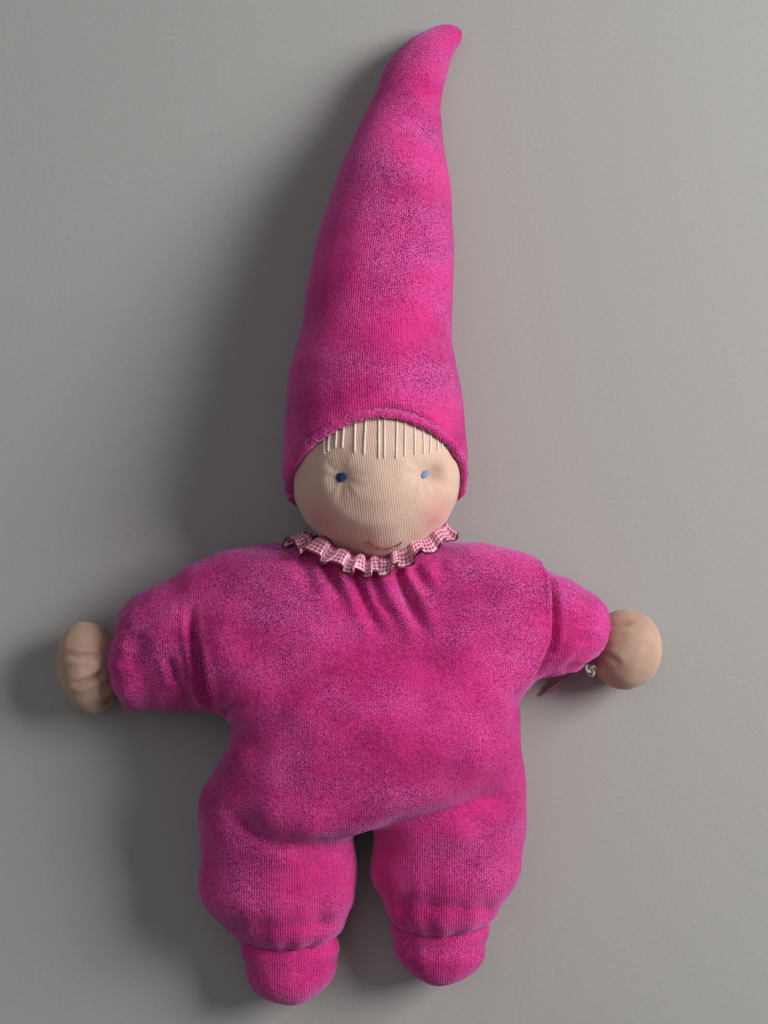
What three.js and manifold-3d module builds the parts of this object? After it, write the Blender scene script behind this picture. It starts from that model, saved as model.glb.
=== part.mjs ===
// A soft cloth doll with a tall pointed hat, lying on its back. Millimetres, +Z up, head towards +Y.
// The origin is the middle of the torso's flat back. Left and right are the doll's own: left is +X.
import * as THREE from 'three';
import { mergeVertices } from 'three/addons/utils/BufferGeometryUtils.js';
import Module from 'manifold-3d';

const wasm = await Module();
wasm.setup();

// Cloth, thread and the clearances between pieces
const velour = 1.6;
const jersey = 1.0;
const gap = 0.3;
const pressed = 0.5;
const threadRadius = 0.6;
const overrun = 60;

// Torso: distances are from the origin, widths are half widths
const torso = {
  toHips: 42,
  toNeck: 44,
  toShoulders: 38,
  topRise: 14.5,
  hipEndReach: 14,
  toHipEndDome: 34,
  hipHalfWidth: 56,
  waistHalfWidth: 50,
  shoulderHalfWidth: 75,
  hipHalfDepth: 26,
  bellyHalfDepth: 27.5,
  chestHalfDepth: 24.5,
  topHalfDepth: 20,
  topMiddleHeight: 22,
  sideLean: 2.2,
};
// Its stations: how far down to the hips or up to the shoulders, and how wide and deep there
const torsoShares = {
  bellyDownShare: 0.52,
  waistDownShare: 0.24,
  chestUpShare: 0.2,
  shouldersUpShare: 0.5,
  bellyWideShare: 1.04,
  chestDeepShare: 1.06,
  shouldersWideShare: 1.02,
  topWideShare: 0.91,
};
const plumpPower = 2.2;
const boxyPower = 2.4;

// Shoulder crease, where an arm folds forward: half widths at its upper and lower end
const shoulder = { upperHalfWidth: 61, lowerHalfWidth: 55.5, upper: 45, lower: -4, axisHeight: 39 };
const armpitDrop = 8;

// Sleeves: middle of the root, and half height and half depth there
const leftArm = { rootAlong: 21.5, halfHeight: 21.5, halfDepth: 19.5, straight: 3, endReach: 22 };
const rightArm = { rootAlong: 17.5, halfHeight: 23.5, halfDepth: 19.5, straight: 14, endReach: 21 };
const leftWrist = new THREE.Vector3(77, 17.5, 15.5);
const rightWrist = new THREE.Vector3(-88, 8.5, 14.5);

// Hands: half length along the arm, half width across it and half depth
const leftHand = { halfLength: 12.8, halfWidth: 13.3, halfDepth: 13.2, away: 14.3 };
const rightHand = { halfLength: 11.6, halfWidth: 16.8, halfDepth: 13.2, away: 13.2 };
const leftHandTowards = new THREE.Vector3(0.94, -0.33, -0.19);
const rightHandTowards = new THREE.Vector3(-0.98, -0.16, -0.12);
const wristKnob = 5;
const creaseReach = 9;
const armShares = { stepShare: 0.2, heightShare: 0.97, depthShare: 0.96 };
const tieShares = { neckShare: 0.86, rimShare: 1.15, endShare: 0.25 };

// Legs and booties
const leftLeg = { rootX: 26, halfWidth: 27.3, ankleX: 24.5, toAnkle: 81, footX: 23.7 };
const rightLeg = { rootX: -33.3, halfWidth: 27.9, ankleX: -31, toAnkle: 88, footX: -29.3 };
const leg = { halfDepth: 21.2, rootFull: 3, rootReach: 16, endReach: 20, endDepth: 19.5, knobDepth: 2 };
const foot = { halfLength: 11.6, halfWidth: 17.8, halfDepth: 13.6, away: 13.7, ankleHeight: 14 };
const ankleKnob = 6;
const legEndShare = 0.985;
const hipAxisHeight = 42;

// Head ball and its tied-off neck
const head = { radius: 29.5, toMiddle: 75, x: 1, neckRadius: 8, neckKnob: 9, neckIntoHead: 8 };
const nodAngle = 20;
const neckShares = { knobShare: 0.15, throughShare: 1.5 };
const dipClearance = 0.3;

// Hat: distances along the doll from the middle of the head, sideways offsets and radii
const hat = { length: 162, baseRadius: 31.9, tipReach: 7, flopAt: 43, tipLength: 32 };
const tipRiseShare = 0.6;
// The domes it bends on are shares of its half depth there, and their cups' rims shares of the domes
const flopShares = { domeShare: 0.969, rimShare: 0.423 };
const bendShares = { domeShare: 0.919, rimShare: 0.488 };
const hemRadius = 1.7;

// Brim: its angle from the crown at the front, the sides and the back, in degrees
const brimAngles = { frontAngle: 46, sideAngle: 95, backAngle: 112 };
const hoodShares = { crownShare: 0.73, hemShare: 1.5, hairShare: 3 };

// Face and hair
const faceAngle = 5.8;
const eyeAngle = 27.5;
const eyeDrop = 1.3;
const eyeRadius = 1.7;
const eyeHeight = 0.5;
const faceShares = { eyeTiltShare: 0.4, mouthAcrossShare: 1.2 };
const mouthShares = { halfWidthShare: 0.2136, dropShare: 0.773, sagShare: 0.078 };
const mouthThread = 0.4;
const hair = { endHeight: 6, longest: 1.8, threadRadius: 0.4 };
const hairShares = { firstShare: -0.5966, lastShare: 0.8271 };

// Ruffle round the neck: radius from the neck's axis and place along it, at the front, side and back
const ruffle = { thickness: 0.9, wave: 1.9, innerWave: 0.5 };
const waveCount = 17;
const strandCount = 16;
const ruffleInner = { radius: [15.5, 26, 20.5], along: [47.6, 58.2, 51] };
const ruffleOuter = { radius: [19.5, 33, 26], along: [42, 55.2, 48.6] };

// Knot of the left wrist tie, and its narrow tail, which drops to the floor beside the sleeve
const knotRadius = 1.6;
const tail = { length: 22, width: 1.5, thickness: 0.6 };
const tailAngle = 220;

// Facet counts
const bodySides = 20;
const limbSides = 16;
const innerSides = 10;
const ballSides = 16;
const cupSides = 24;
const spineSteps = 2;

const degrees = THREE.MathUtils.degToRad;
const up = new THREE.Vector3(0, 0, 1);
const forwards = new THREE.Vector3(0, 1, 0);

// Turns a closed geometry into a solid that can be cut and joined
function solidOf(geometry) {
  const bare = geometry.clone();
  bare.deleteAttribute('normal');
  bare.deleteAttribute('uv');
  const welded = mergeVertices(bare);
  const vertProperties = new Float32Array(welded.getAttribute('position').array);
  const triVerts = new Uint32Array(welded.getIndex().array);
  return new wasm.Manifold(new wasm.Mesh({ numProp: 3, vertProperties, triVerts }));
}

// Turns a solid back into a geometry
function geometryOf(solid) {
  const { vertProperties, triVerts, numProp } = solid.getMesh();
  const places = new Float32Array((vertProperties.length / numProp) * 3);
  for (let i = 0; i < places.length / 3; i++) {
    for (let k = 0; k < 3; k++) places[3 * i + k] = vertProperties[numProp * i + k];
  }
  const geometry = new THREE.BufferGeometry();
  geometry.setAttribute('position', new THREE.BufferAttribute(places, 3));
  geometry.setIndex(new THREE.BufferAttribute(new Uint32Array(triVerts), 1));
  return geometry;
}

// Skins a row of rings; a closed row joins its last ring to its first, an open one ends in points
function skin(rings, start, end) {
  const closed = !start;
  const points = closed ? rings.flat() : [...rings.flat(), start, end];
  const n = rings[0].length;
  const faces = [];
  const last = closed ? rings.length : rings.length - 1;
  for (let r = 0; r < last; r++) {
    const next = (r + 1) % rings.length;
    for (let k = 0; k < n; k++) {
      const m = (k + 1) % n;
      faces.push(r * n + k, r * n + m, next * n + m);
      faces.push(r * n + k, next * n + m, next * n + k);
    }
  }
  if (!closed) {
    const first = rings.length * n;
    for (let k = 0; k < n; k++) {
      const m = (k + 1) % n;
      faces.push(first, m, k);
      faces.push(first + 1, (rings.length - 1) * n + k, (rings.length - 1) * n + m);
    }
  }
  const geometry = new THREE.BufferGeometry().setFromPoints(points);
  geometry.setIndex(facingOut(points, faces));
  return geometry;
}

// Turns the faces round where they enclose a negative volume, so that they point outwards
function facingOut(points, faces) {
  let volume = 0;
  const across = new THREE.Vector3();
  for (let f = 0; f < faces.length; f += 3) {
    across.crossVectors(points[faces[f + 1]], points[faces[f + 2]]);
    volume += points[faces[f]].dot(across);
  }
  return volume < 0 ? faces.reverse() : faces;
}

// One oval ring, rounder for a roundness of 2 and boxier above it
function ovalRing(middle, across, above, halfWidth, halfDepth, roundness, sides) {
  const ring = [];
  for (let k = 0; k < sides; k++) {
    const turn = (2 * Math.PI * k) / sides;
    const c = Math.sign(Math.cos(turn)) * Math.abs(Math.cos(turn)) ** (2 / roundness);
    const s = Math.sign(Math.sin(turn)) * Math.abs(Math.sin(turn)) ** (2 / roundness);
    ring.push(middle.clone().addScaledVector(across, c * halfWidth).addScaledVector(above, s * halfDepth));
  }
  return ring;
}

// A stuffed form: ovals along a spine, with a dome at each end. Stations hold at, halfWidth, halfDepth.
// A positive inset gives the same form inside its cloth, a negative one the space that it needs.
function softForm(form, inset, sides) {
  const { stations, startReach, endReach } = form;
  const roundness = form.roundness ?? plumpPower;
  const startPower = form.startPower ?? [2, 2];
  const endPower = form.endPower ?? [2, 2];
  const spine = new THREE.CatmullRomCurve3(stations.map((s) => s.at));
  const halves = new THREE.CatmullRomCurve3(
    stations.map((s) => new THREE.Vector3(s.halfWidth, s.halfDepth, 0)),
  );
  const steps = (stations.length - 1) * (form.steps ?? spineSteps);
  const rings = [];
  const ringAt = (middle, tangent, halfWidth, halfDepth) => {
    const direction = form.direction ?? tangent;
    const across = new THREE.Vector3().crossVectors(direction, up).normalize();
    const above = new THREE.Vector3().crossVectors(across, direction).normalize();
    return ovalRing(middle, across, above, halfWidth, halfDepth, roundness, sides);
  };
  const dome = (share, reach, power) => {
    const direction = spine.getTangent(share);
    const middle = spine.getPoint(share);
    const half = halves.getPoint(share);
    const short = reach.clone().multiplyScalar(1 - inset / reach.length());
    const rows = [];
    for (const turn of [75, 55, 35, 17]) {
      const t = Math.cos(degrees(turn));
      const wide = (1 - t ** power[0]) ** (1 / power[0]);
      const deep = (1 - t ** power[1]) ** (1 / power[1]);
      const place = middle.clone().addScaledVector(short, t);
      rows.push(ringAt(place, direction, (half.x - inset) * wide, (half.y - inset) * deep));
    }
    return { rows, tip: middle.clone().add(short) };
  };
  const first = dome(0, startReach, startPower);
  const last = dome(1, endReach, endPower);
  rings.push(...first.rows.reverse());
  for (let i = 0; i <= steps; i++) {
    const half = halves.getPoint(i / steps);
    const middle = spine.getPoint(i / steps);
    rings.push(ringAt(middle, spine.getTangent(i / steps), half.x - inset, half.y - inset));
  }
  rings.push(...last.rows);
  return solidOf(skin(rings, first.tip, last.tip));
}

// A ball, and a rod from one point towards another
function ball(middle, radius, sides) {
  const geometry = new THREE.SphereGeometry(radius, sides, sides / 2);
  return solidOf(geometry.rotateX(Math.PI / 2).translate(middle.x, middle.y, middle.z));
}

// The room that a ball needs to turn in: its facets bulge out by the clearance at their middles too
function socket(middle, radius, sides) {
  return ball(middle, (radius + gap) / Math.cos(Math.PI / sides) ** 2, sides);
}

function turned(geometry, from, direction) {
  const turn = new THREE.Quaternion().setFromUnitVectors(forwards, direction.clone().normalize());
  return geometry.applyQuaternion(turn).translate(from.x, from.y, from.z);
}

function rod(from, direction, back, ahead, radius, sides) {
  const geometry = new THREE.CylinderGeometry(radius, radius, ahead + back, sides);
  geometry.translate(0, (ahead - back) / 2, 0);
  return solidOf(turned(geometry, from, direction));
}

// Everything on one side of a plane
function halfSpace(from, direction) {
  const size = 10 * overrun;
  const geometry = new THREE.BoxGeometry(size, size, size).translate(0, size / 2, 0);
  return solidOf(turned(geometry, from, direction));
}

const belowFloor = halfSpace(new THREE.Vector3(0, 0, 0), new THREE.Vector3(0, 0, -1));
const belowCloth = (cloth) => halfSpace(new THREE.Vector3(0, 0, cloth), new THREE.Vector3(0, 0, -1));

// A thread tied round a neck that runs along a direction
function threadRing(middle, direction, radius, thread, sides) {
  const geometry = new THREE.TorusGeometry(radius, thread, 4, sides).rotateX(Math.PI / 2);
  return solidOf(turned(geometry, middle, direction));
}

// Cloth colours
const materials = {
  velour: new THREE.MeshStandardMaterial({ color: 0xc23a86, roughness: 0.95, metalness: 0 }),
  jersey: new THREE.MeshStandardMaterial({ color: 0xe3c2ab, roughness: 0.9, metalness: 0 }),
  wool: new THREE.MeshStandardMaterial({ color: 0xeee6d6, roughness: 1, metalness: 0 }),
  thread: new THREE.MeshStandardMaterial({ color: 0xe9e2d8, roughness: 0.8, metalness: 0 }),
  hair: new THREE.MeshStandardMaterial({ color: 0xf2ead9, roughness: 0.85, metalness: 0 }),
  eyes: new THREE.MeshStandardMaterial({ color: 0x4a6ea8, roughness: 0.6, metalness: 0 }),
  mouth: new THREE.MeshStandardMaterial({ color: 0xc9402f, roughness: 0.7, metalness: 0 }),
  ribbon: new THREE.MeshStandardMaterial({ color: 0xd9668f, roughness: 0.5, metalness: 0 }),
};

const doll = new THREE.Group();

function add(name, solid, material) {
  const mesh = new THREE.Mesh(geometryOf(solid), materials[material]);
  mesh.name = name;
  doll.add(mesh);
}

// A cover with its stuffing: the cover is a wall round the hollow that the stuffing fills
function addStuffed(name, form, sides, cut, cloth, mouthOf, dent) {
  const outside = cut(softForm(form, 0, sides), 0).subtract(belowFloor);
  const hollow = cut(softForm(form, cloth, innerSides), cloth).subtract(belowCloth(cloth));
  const inside = cloth + gap;
  const filling = cut(softForm(form, inside, innerSides), inside).subtract(belowCloth(inside));
  add(`${name}_cover`, outside.subtract(hollow).subtract(mouthOf), 'velour');
  add(`${name}_stuffing`, filling.subtract(dent), 'wool');
}

// Torso
const headMiddle = new THREE.Vector3(head.x, head.toMiddle, hat.baseRadius - pressed);
const neckPoint = new THREE.Vector3(head.x, torso.toNeck, headMiddle.z);

function torsoStation(along, halfWidth, halfDepth, lean) {
  return { at: new THREE.Vector3(lean, along, halfDepth - pressed), halfWidth, halfDepth };
}

const torsoForm = {
  stations: [
    torsoStation(-torso.toHipEndDome, torso.hipHalfWidth, torso.hipHalfDepth, -torso.sideLean),
    torsoStation(
      -torsoShares.bellyDownShare * torso.toHips,
      torso.waistHalfWidth * torsoShares.bellyWideShare,
      torso.bellyHalfDepth,
      0,
    ),
    torsoStation(
      -torsoShares.waistDownShare * torso.toHips,
      torso.waistHalfWidth,
      torso.bellyHalfDepth,
      torso.sideLean / 2,
    ),
    torsoStation(
      torsoShares.chestUpShare * torso.toShoulders,
      torso.shoulderHalfWidth,
      torso.chestHalfDepth * torsoShares.chestDeepShare,
      0,
    ),
    torsoStation(
      torsoShares.shouldersUpShare * torso.toShoulders,
      torso.shoulderHalfWidth * torsoShares.shouldersWideShare,
      torso.chestHalfDepth,
      0,
    ),
    {
      at: new THREE.Vector3(0, torso.toShoulders, torso.topMiddleHeight),
      halfWidth: torso.shoulderHalfWidth * torsoShares.topWideShare,
      halfDepth: torso.topHalfDepth,
    },
  ],
  startReach: new THREE.Vector3(0, -torso.hipEndReach, 0),
  endReach: new THREE.Vector3(0, torso.topRise, 0),
  startPower: [4, 2],
  roundness: boxyPower,
  direction: forwards,
};

// The hip crease: the leg folds about a line on the front, and both faces lean away below it
const backwardsAngle = 10;
const foldLean = degrees(backwardsAngle / 2);

function hipSide(side, inset) {
  const from = new THREE.Vector3(0, -torso.toHips + side * (gap / 2 + inset), hipAxisHeight);
  const face = new THREE.Vector3(0, -side * Math.cos(foldLean), -Math.sin(foldLean));
  return halfSpace(from, face);
}

// The shoulder crease: a leaning plane through the crease line
function shoulderLine(sign) {
  const upper = new THREE.Vector3(sign * shoulder.upperHalfWidth, shoulder.upper, shoulder.axisHeight);
  const lower = new THREE.Vector3(sign * shoulder.lowerHalfWidth, shoulder.lower, shoulder.axisHeight);
  const along = upper.clone().sub(lower).normalize();
  const outwards = new THREE.Vector3(sign * along.y, -sign * along.x, 0);
  return { upper, lower, along, outwards };
}

// The torso is cut away outside the crease, but only beside the arm; the arm is cut inside it
function shoulderCut(sign, arm, inset) {
  const { lower, along, outwards } = shoulderLine(sign);
  const away = arm ? 1 : -1;
  const from = lower.clone().addScaledVector(outwards, away * (gap / 2 + inset));
  const face = outwards.clone().multiplyScalar(-away * Math.cos(foldLean));
  face.z = -Math.sin(foldLean);
  const space = halfSpace(from, face);
  if (arm) return space;
  const below = lower.clone().addScaledVector(along, -armpitDrop);
  return space.subtract(halfSpace(below, along.clone().negate()));
}

// The dip that the head presses in the top of the torso as it nods
function headDip(inset) {
  const middle = new THREE.Vector3();
  let dip = null;
  for (let angle = -nodAngle; angle <= nodAngle; angle += nodAngle) {
    const swing = headMiddle.clone().sub(neckPoint);
    swing.applyAxisAngle(new THREE.Vector3(1, 0, 0), degrees(angle));
    middle.copy(neckPoint).add(swing);
    const press = socket(middle, head.radius + dipClearance + inset, ballSides);
    dip = dip ? dip.add(press) : press;
  }
  return dip;
}

function cutTorso(solid, inset) {
  return solid
    .subtract(hipSide(1, inset))
    .subtract(shoulderCut(1, false, inset))
    .subtract(shoulderCut(-1, false, inset))
    .subtract(headDip(inset));
}

const neckHole = head.neckKnob + 2 * gap + 2 * threadRadius;
addStuffed(
  'torso',
  torsoForm,
  bodySides,
  cutTorso,
  velour,
  rod(neckPoint, forwards, velour * 3, overrun / 2, neckHole, ballSides),
  socket(neckPoint, head.neckKnob, ballSides).add(
    rod(neckPoint, forwards, velour * 2, overrun / 2, neckHole + gap, ballSides),
  ),
);

// A limb's end is cut square where it is tied, and holds the knob of what hangs on it
function tiedEnd(solid, point, towards, inset) {
  const from = point.clone().addScaledVector(towards, -gap - inset);
  return solid.subtract(halfSpace(from, towards));
}

function addTie(name, point, towards, knob) {
  const middle = point.clone().addScaledVector(towards, -gap / 2 - threadRadius);
  add(name, threadRing(middle, towards, knob + gap + threadRadius, threadRadius, ballSides), 'thread');
}

// Arms
function addArm(name, sign, arm, wrist, towards) {
  const { outwards } = shoulderLine(sign);
  const line = shoulderLine(sign);
  const share = (arm.rootAlong - line.lower.y) / (line.upper.y - line.lower.y);
  const root = line.lower.clone().lerp(line.upper, share);
  root.z = arm.halfDepth - pressed;
  const reach = wrist.clone().sub(root);
  const start = root.clone().addScaledVector(outwards, arm.straight * armShares.stepShare);
  const end = root.clone().addScaledVector(reach, arm.straight / reach.length());
  end.z = Math.min(end.z, arm.halfDepth - pressed);
  const domeReach = wrist.clone().sub(end).setLength(arm.endReach);
  const form = {
    stations: [
      { at: start, halfWidth: arm.halfHeight, halfDepth: arm.halfDepth },
      {
        at: end,
        halfWidth: arm.halfHeight * armShares.heightShare,
        halfDepth: arm.halfDepth * armShares.depthShare,
      },
    ],
    startReach: outwards.clone().multiplyScalar(-creaseReach),
    endReach: domeReach,
    startPower: [4, 2],
  };
  const cut = (solid, inset) =>
    tiedEnd(solid.subtract(shoulderCut(sign, true, inset)), wrist, towards, inset);
  const hole = wristKnob + 2 * gap + 2 * threadRadius;
  const mouthOf = rod(wrist, towards, gap + velour * 2, velour, hole, limbSides);
  addStuffed(name, form, limbSides, cut, velour, mouthOf, socket(wrist, wristKnob, ballSides));
}

// A ball on a tied neck, as hands and booties are: an open skin over a stuffing. The neck's knob
// sits in the end of the limb, and the skin is open at the knob.
function tiedBall(shape, point, towards, knob, cloth) {
  const across = new THREE.Vector3().crossVectors(towards, up).normalize();
  const above = new THREE.Vector3().crossVectors(across, towards).normalize();
  const neck = knob * tieShares.neckShare;
  const bore = neck - cloth;
  const ringAt = (distance, halfWidth, halfDepth, shift) => {
    const middle = point.clone().addScaledVector(towards, distance).addScaledVector(across, shift);
    return ovalRing(middle, across, above, halfWidth, halfDepth, 2, ballSides);
  };
  const sideways = shape.sideways ?? 0;
  const ballRing = (angle, inset) => {
    const turn = degrees(angle);
    const distance = shape.away - (shape.halfLength - inset) * Math.cos(turn);
    const width = (shape.halfWidth - inset) * Math.sin(turn);
    const depth = (shape.halfDepth - inset) * Math.sin(turn);
    return ringAt(distance, width, depth, sideways);
  };
  const tip = (inset) => {
    const distance = shape.away + shape.halfLength - inset;
    return point.clone().addScaledVector(towards, distance).addScaledVector(across, sideways);
  };
  const rimTurn = Math.asin(bore / knob) * tieShares.rimShare;
  const knobRings = [rimTurn, 1, Math.PI / 2].map((turn) => {
    const radius = knob * Math.sin(turn);
    return ringAt(-knob * Math.cos(turn), radius, radius, 0);
  });
  const neckEnd = knob * tieShares.endShare;
  const outer = [...knobRings, ringAt(neckEnd, neck, neck, 0)];
  for (const angle of [30, 48, 69, 90, 111, 132, 155]) outer.push(ballRing(angle, 0));
  const inner = [ringAt(-knob * Math.cos(rimTurn), bore, bore, 0), ringAt(neckEnd, bore, bore, 0)];
  for (const angle of [32, 61, 90, 119, 148]) inner.push(ballRing(angle, cloth));
  const solid = solidOf(skin([...outer.reverse(), ...inner], tip(0), tip(cloth)));
  const filling = [32, 61, 90, 119, 148].map((angle) => ballRing(angle, cloth + gap));
  const start = point.clone().addScaledVector(towards, shape.away - shape.halfLength + cloth + gap);
  start.addScaledVector(across, sideways);
  return {
    skin: solid.subtract(belowFloor),
    stuffing: solidOf(skin(filling, start, tip(cloth + gap))).subtract(belowCloth(cloth + gap)),
  };
}

function addHand(name, hand, wrist, towards) {
  const parts = tiedBall(hand, wrist, towards, wristKnob, jersey);
  add(`${name}_skin`, parts.skin, 'jersey');
  add(`${name}_stuffing`, parts.stuffing, 'wool');
}

const leftTowards = leftHandTowards.clone().normalize();
const rightTowards = rightHandTowards.clone().normalize();
addArm('left_sleeve', 1, leftArm, leftWrist, leftTowards);
addArm('right_sleeve', -1, rightArm, rightWrist, rightTowards);
addHand('left_hand', leftHand, leftWrist, leftTowards);
addHand('right_hand', rightHand, rightWrist, rightTowards);
addTie('left_wrist_tie', leftWrist, leftTowards, wristKnob);
addTie('right_wrist_tie', rightWrist, rightTowards, wristKnob);

// Legs, and the booties tied on below them
const downwards = new THREE.Vector3(0, -1, 0);

function addLeg(name, side) {
  const ankle = new THREE.Vector3(side.ankleX, -side.toAnkle, foot.ankleHeight);
  const rootAlong = -torso.toHips - leg.rootFull;
  const endAlong = -side.toAnkle + leg.endReach - leg.knobDepth;
  const endHeight = leg.endDepth - pressed;
  const form = {
    stations: [
      {
        at: new THREE.Vector3(side.rootX, rootAlong, leg.halfDepth - pressed),
        halfWidth: side.halfWidth,
        halfDepth: leg.halfDepth,
      },
      {
        at: new THREE.Vector3(side.rootX, endAlong, endHeight),
        halfWidth: side.halfWidth * legEndShare,
        halfDepth: leg.endDepth,
      },
    ],
    startReach: new THREE.Vector3(0, leg.rootReach, 0),
    endReach: new THREE.Vector3(ankle.x - side.rootX, -leg.endReach, ankle.z - endHeight),
    startPower: [4, 2],
  };
  const cut = (solid, inset) => tiedEnd(solid.subtract(hipSide(-1, inset)), ankle, downwards, inset);
  const hole = ankleKnob + 2 * gap + 2 * threadRadius;
  const mouthOf = rod(ankle, downwards, gap + velour * 2, velour, hole, limbSides);
  addStuffed(`${name}_leg`, form, limbSides, cut, velour, mouthOf, socket(ankle, ankleKnob, ballSides));
  addTie(`${name}_ankle_tie`, ankle, downwards, ankleKnob);
  addFoot(`${name}_bootie`, ankle, side.footX);
}

function addFoot(name, ankle, footX) {
  const middle = new THREE.Vector3(footX, ankle.y - foot.away, foot.halfDepth - pressed);
  const towards = middle.clone().sub(ankle).normalize();
  const parts = tiedBall(foot, ankle, towards, ankleKnob, velour);
  add(`${name}_cover`, parts.skin, 'velour');
  add(`${name}_stuffing`, parts.stuffing, 'wool');
}

addLeg('left', leftLeg);
addLeg('right', rightLeg);

// Neck: the tied-off stub of the head, with its knob in the torso
const neckTop = head.toMiddle - head.radius + head.neckIntoHead;
const knobTop = neckPoint.clone().addScaledVector(forwards, head.neckKnob * neckShares.knobShare);
const neckStub = ball(neckPoint, head.neckKnob, ballSides)
  .subtract(halfSpace(knobTop, forwards))
  .add(rod(neckPoint, forwards, 0, neckTop - torso.toNeck, head.neckRadius, ballSides));
add('neck_stub', neckStub, 'jersey');
addTie('neck_tie', neckPoint.clone().addScaledVector(forwards, -2 * gap), forwards, head.neckKnob);

// Head: a jersey skin over a firm wool ball, both open below for the neck
const headSkin = ball(headMiddle, head.radius, bodySides)
  .subtract(ball(headMiddle, head.radius - jersey, ballSides))
  .subtract(
    rod(
      neckPoint,
      forwards,
      overrun / 4,
      head.neckIntoHead * neckShares.throughShare,
      head.neckRadius + gap,
      ballSides,
    ),
  );
const headCore = ball(headMiddle, head.radius - jersey - gap, ballSides).subtract(
  rod(neckPoint, forwards, overrun / 4, neckTop - torso.toNeck + gap, head.neckRadius + gap, ballSides),
);
add('head_skin', headSkin, 'jersey');
add('head_core', headCore, 'wool');

// Hat: one tall cone in three lengths, which meet in domes that let it bend
function hatStation(share, radius, depth, sideways) {
  return { share, radius, depth, sideways };
}

// Shares of the length, of the base radius for width and depth, and of the length sideways
const hatShares = [
  hatStation(0, 1, 1, 0),
  hatStation(0.128, 0.955, 0.9, -0.003),
  hatStation(0.205, 0.922, 0.87, -0.006),
  hatStation(0.309, 0.85, 0.82, 0),
  hatStation(0.414, 0.787, 0.765, 0.009),
  hatStation(0.52, 0.721, 0.7, 0.023),
  hatStation(0.628, 0.63, 0.61, 0.037),
  hatStation(0.74, 0.482, 0.475, 0.053),
  hatStation(0.823, 0.405, 0.4, 0.075),
  hatStation(0.877, 0.352, 0.35, 0.09),
  hatStation(0.933, 0.27, 0.27, 0.118),
  hatStation(0.972, 0.19, 0.19, 0.146),
];

function hatPlace(station) {
  const halfWidth = hat.baseRadius * station.radius;
  const halfDepth = hat.baseRadius * station.depth;
  const at = new THREE.Vector3(
    headMiddle.x + hat.length * station.sideways,
    headMiddle.y + hat.length * station.share,
    halfDepth - pressed,
  );
  return { at, halfWidth, halfDepth };
}

const hatForm = {
  stations: hatShares.map(hatPlace),
  startReach: new THREE.Vector3(0, -hat.baseRadius, 0),
  endReach: new THREE.Vector3(hat.tipReach, hat.tipReach * tipRiseShare, 0),
  roundness: 2,
  steps: 1,
};

// A joint of the hat at a distance from the middle of the head: its middle, the way the hat runs
// there, the dome below it and the rim of the cup above it
function hatJoint(distance, shares) {
  const share = distance / hat.length;
  const next = hatShares.find((s) => s.share >= share);
  const before = hatShares[hatShares.indexOf(next) - 1];
  const below = hatPlace(before);
  const above = hatPlace(next);
  const between = (share - before.share) / (next.share - before.share);
  const point = below.at.clone().lerp(above.at, between);
  const axis = above.at.clone().sub(below.at).normalize();
  const halfDepth = below.halfDepth + (above.halfDepth - below.halfDepth) * between;
  const radius = halfDepth * shares.domeShare;
  return { point, axis, radius, rim: radius * shares.rimShare };
}

const flop = hatJoint(hat.flopAt, flopShares);
const bend = hatJoint(hat.length - hat.tipLength, bendShares);

function beyond(point, axis, distance) {
  return halfSpace(point.clone().addScaledVector(axis, distance), axis);
}

// One length of the hat: above its cup and below its dome
function hatLength(inset, sides, cup, dome) {
  let solid = softForm(hatForm, inset, sides);
  if (dome) {
    const below = solid.subtract(beyond(dome.point, dome.axis, -inset));
    solid = below.add(ball(dome.point, dome.radius - inset, sides));
  }
  if (cup) {
    solid = solid.intersect(beyond(cup.point, cup.axis, cup.rim));
    solid = solid.subtract(socket(cup.point, cup.radius, cupSides));
  }
  return solid;
}

// The angle of the brim from the crown, round the head from the front
function brimAngle(turn) {
  const c = Math.cos(turn);
  const middle = c > 0 ? brimAngles.frontAngle : brimAngles.backAngle;
  return brimAngles.sideAngle + (middle - brimAngles.sideAngle) * Math.abs(c);
}

function headPoint(angle, turn, distance) {
  const a = degrees(angle);
  const round = turn + degrees(faceAngle);
  return new THREE.Vector3(
    headMiddle.x + distance * Math.sin(a) * Math.sin(round),
    headMiddle.y + distance * Math.cos(a),
    headMiddle.z + distance * Math.sin(a) * Math.cos(round),
  );
}

// Everything below the brim
function belowBrim() {
  const around = 2 * ballSides;
  const downShares = [0, 0.3, 0.6, 0.85];
  const rings = [];
  for (const share of downShares) {
    const ring = [];
    for (let k = 0; k < around; k++) {
      const turn = (2 * Math.PI * k) / around;
      const angle = brimAngle(turn);
      ring.push(headPoint(angle + share * (180 - angle), turn, overrun * 1.5));
    }
    rings.push(ring);
  }
  const pole = headPoint(180, 0, overrun * 1.5);
  const solid = solidOf(skin(rings, headMiddle.clone(), pole));
  return solid;
}

const hoodOutside = hatLength(0, bodySides, null, flop).subtract(belowFloor);
const hoodHollow = hatLength(velour, innerSides, null, flop).subtract(belowCloth(velour));
const crownStart = head.radius * hoodShares.crownShare;
const headRoom = ball(headMiddle, head.radius + gap, bodySides);
const hood = hoodOutside
  .subtract(headRoom)
  .subtract(hoodHollow.intersect(beyond(headMiddle, forwards, crownStart)))
  .subtract(belowBrim());
const crownStuffing = hatLength(velour + gap, innerSides, null, flop)
  .intersect(beyond(headMiddle, forwards, crownStart + gap))
  .subtract(belowCloth(velour + gap))
  .subtract(ball(headMiddle, head.radius + 2 * gap, bodySides));
add('hat_hood_cover', hood, 'velour');
add('hat_hood_stuffing', crownStuffing, 'wool');

const coneOutside = hatLength(0, limbSides, flop, bend).subtract(belowFloor);
const coneHollow = hatLength(velour, innerSides, null, bend).subtract(belowCloth(velour));
const coneFilling = hatLength(velour + gap, innerSides, flop, bend).subtract(belowCloth(velour + gap));
add('hat_cone_cover', coneOutside.subtract(coneHollow), 'velour');
add('hat_cone_stuffing', coneFilling, 'wool');

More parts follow.
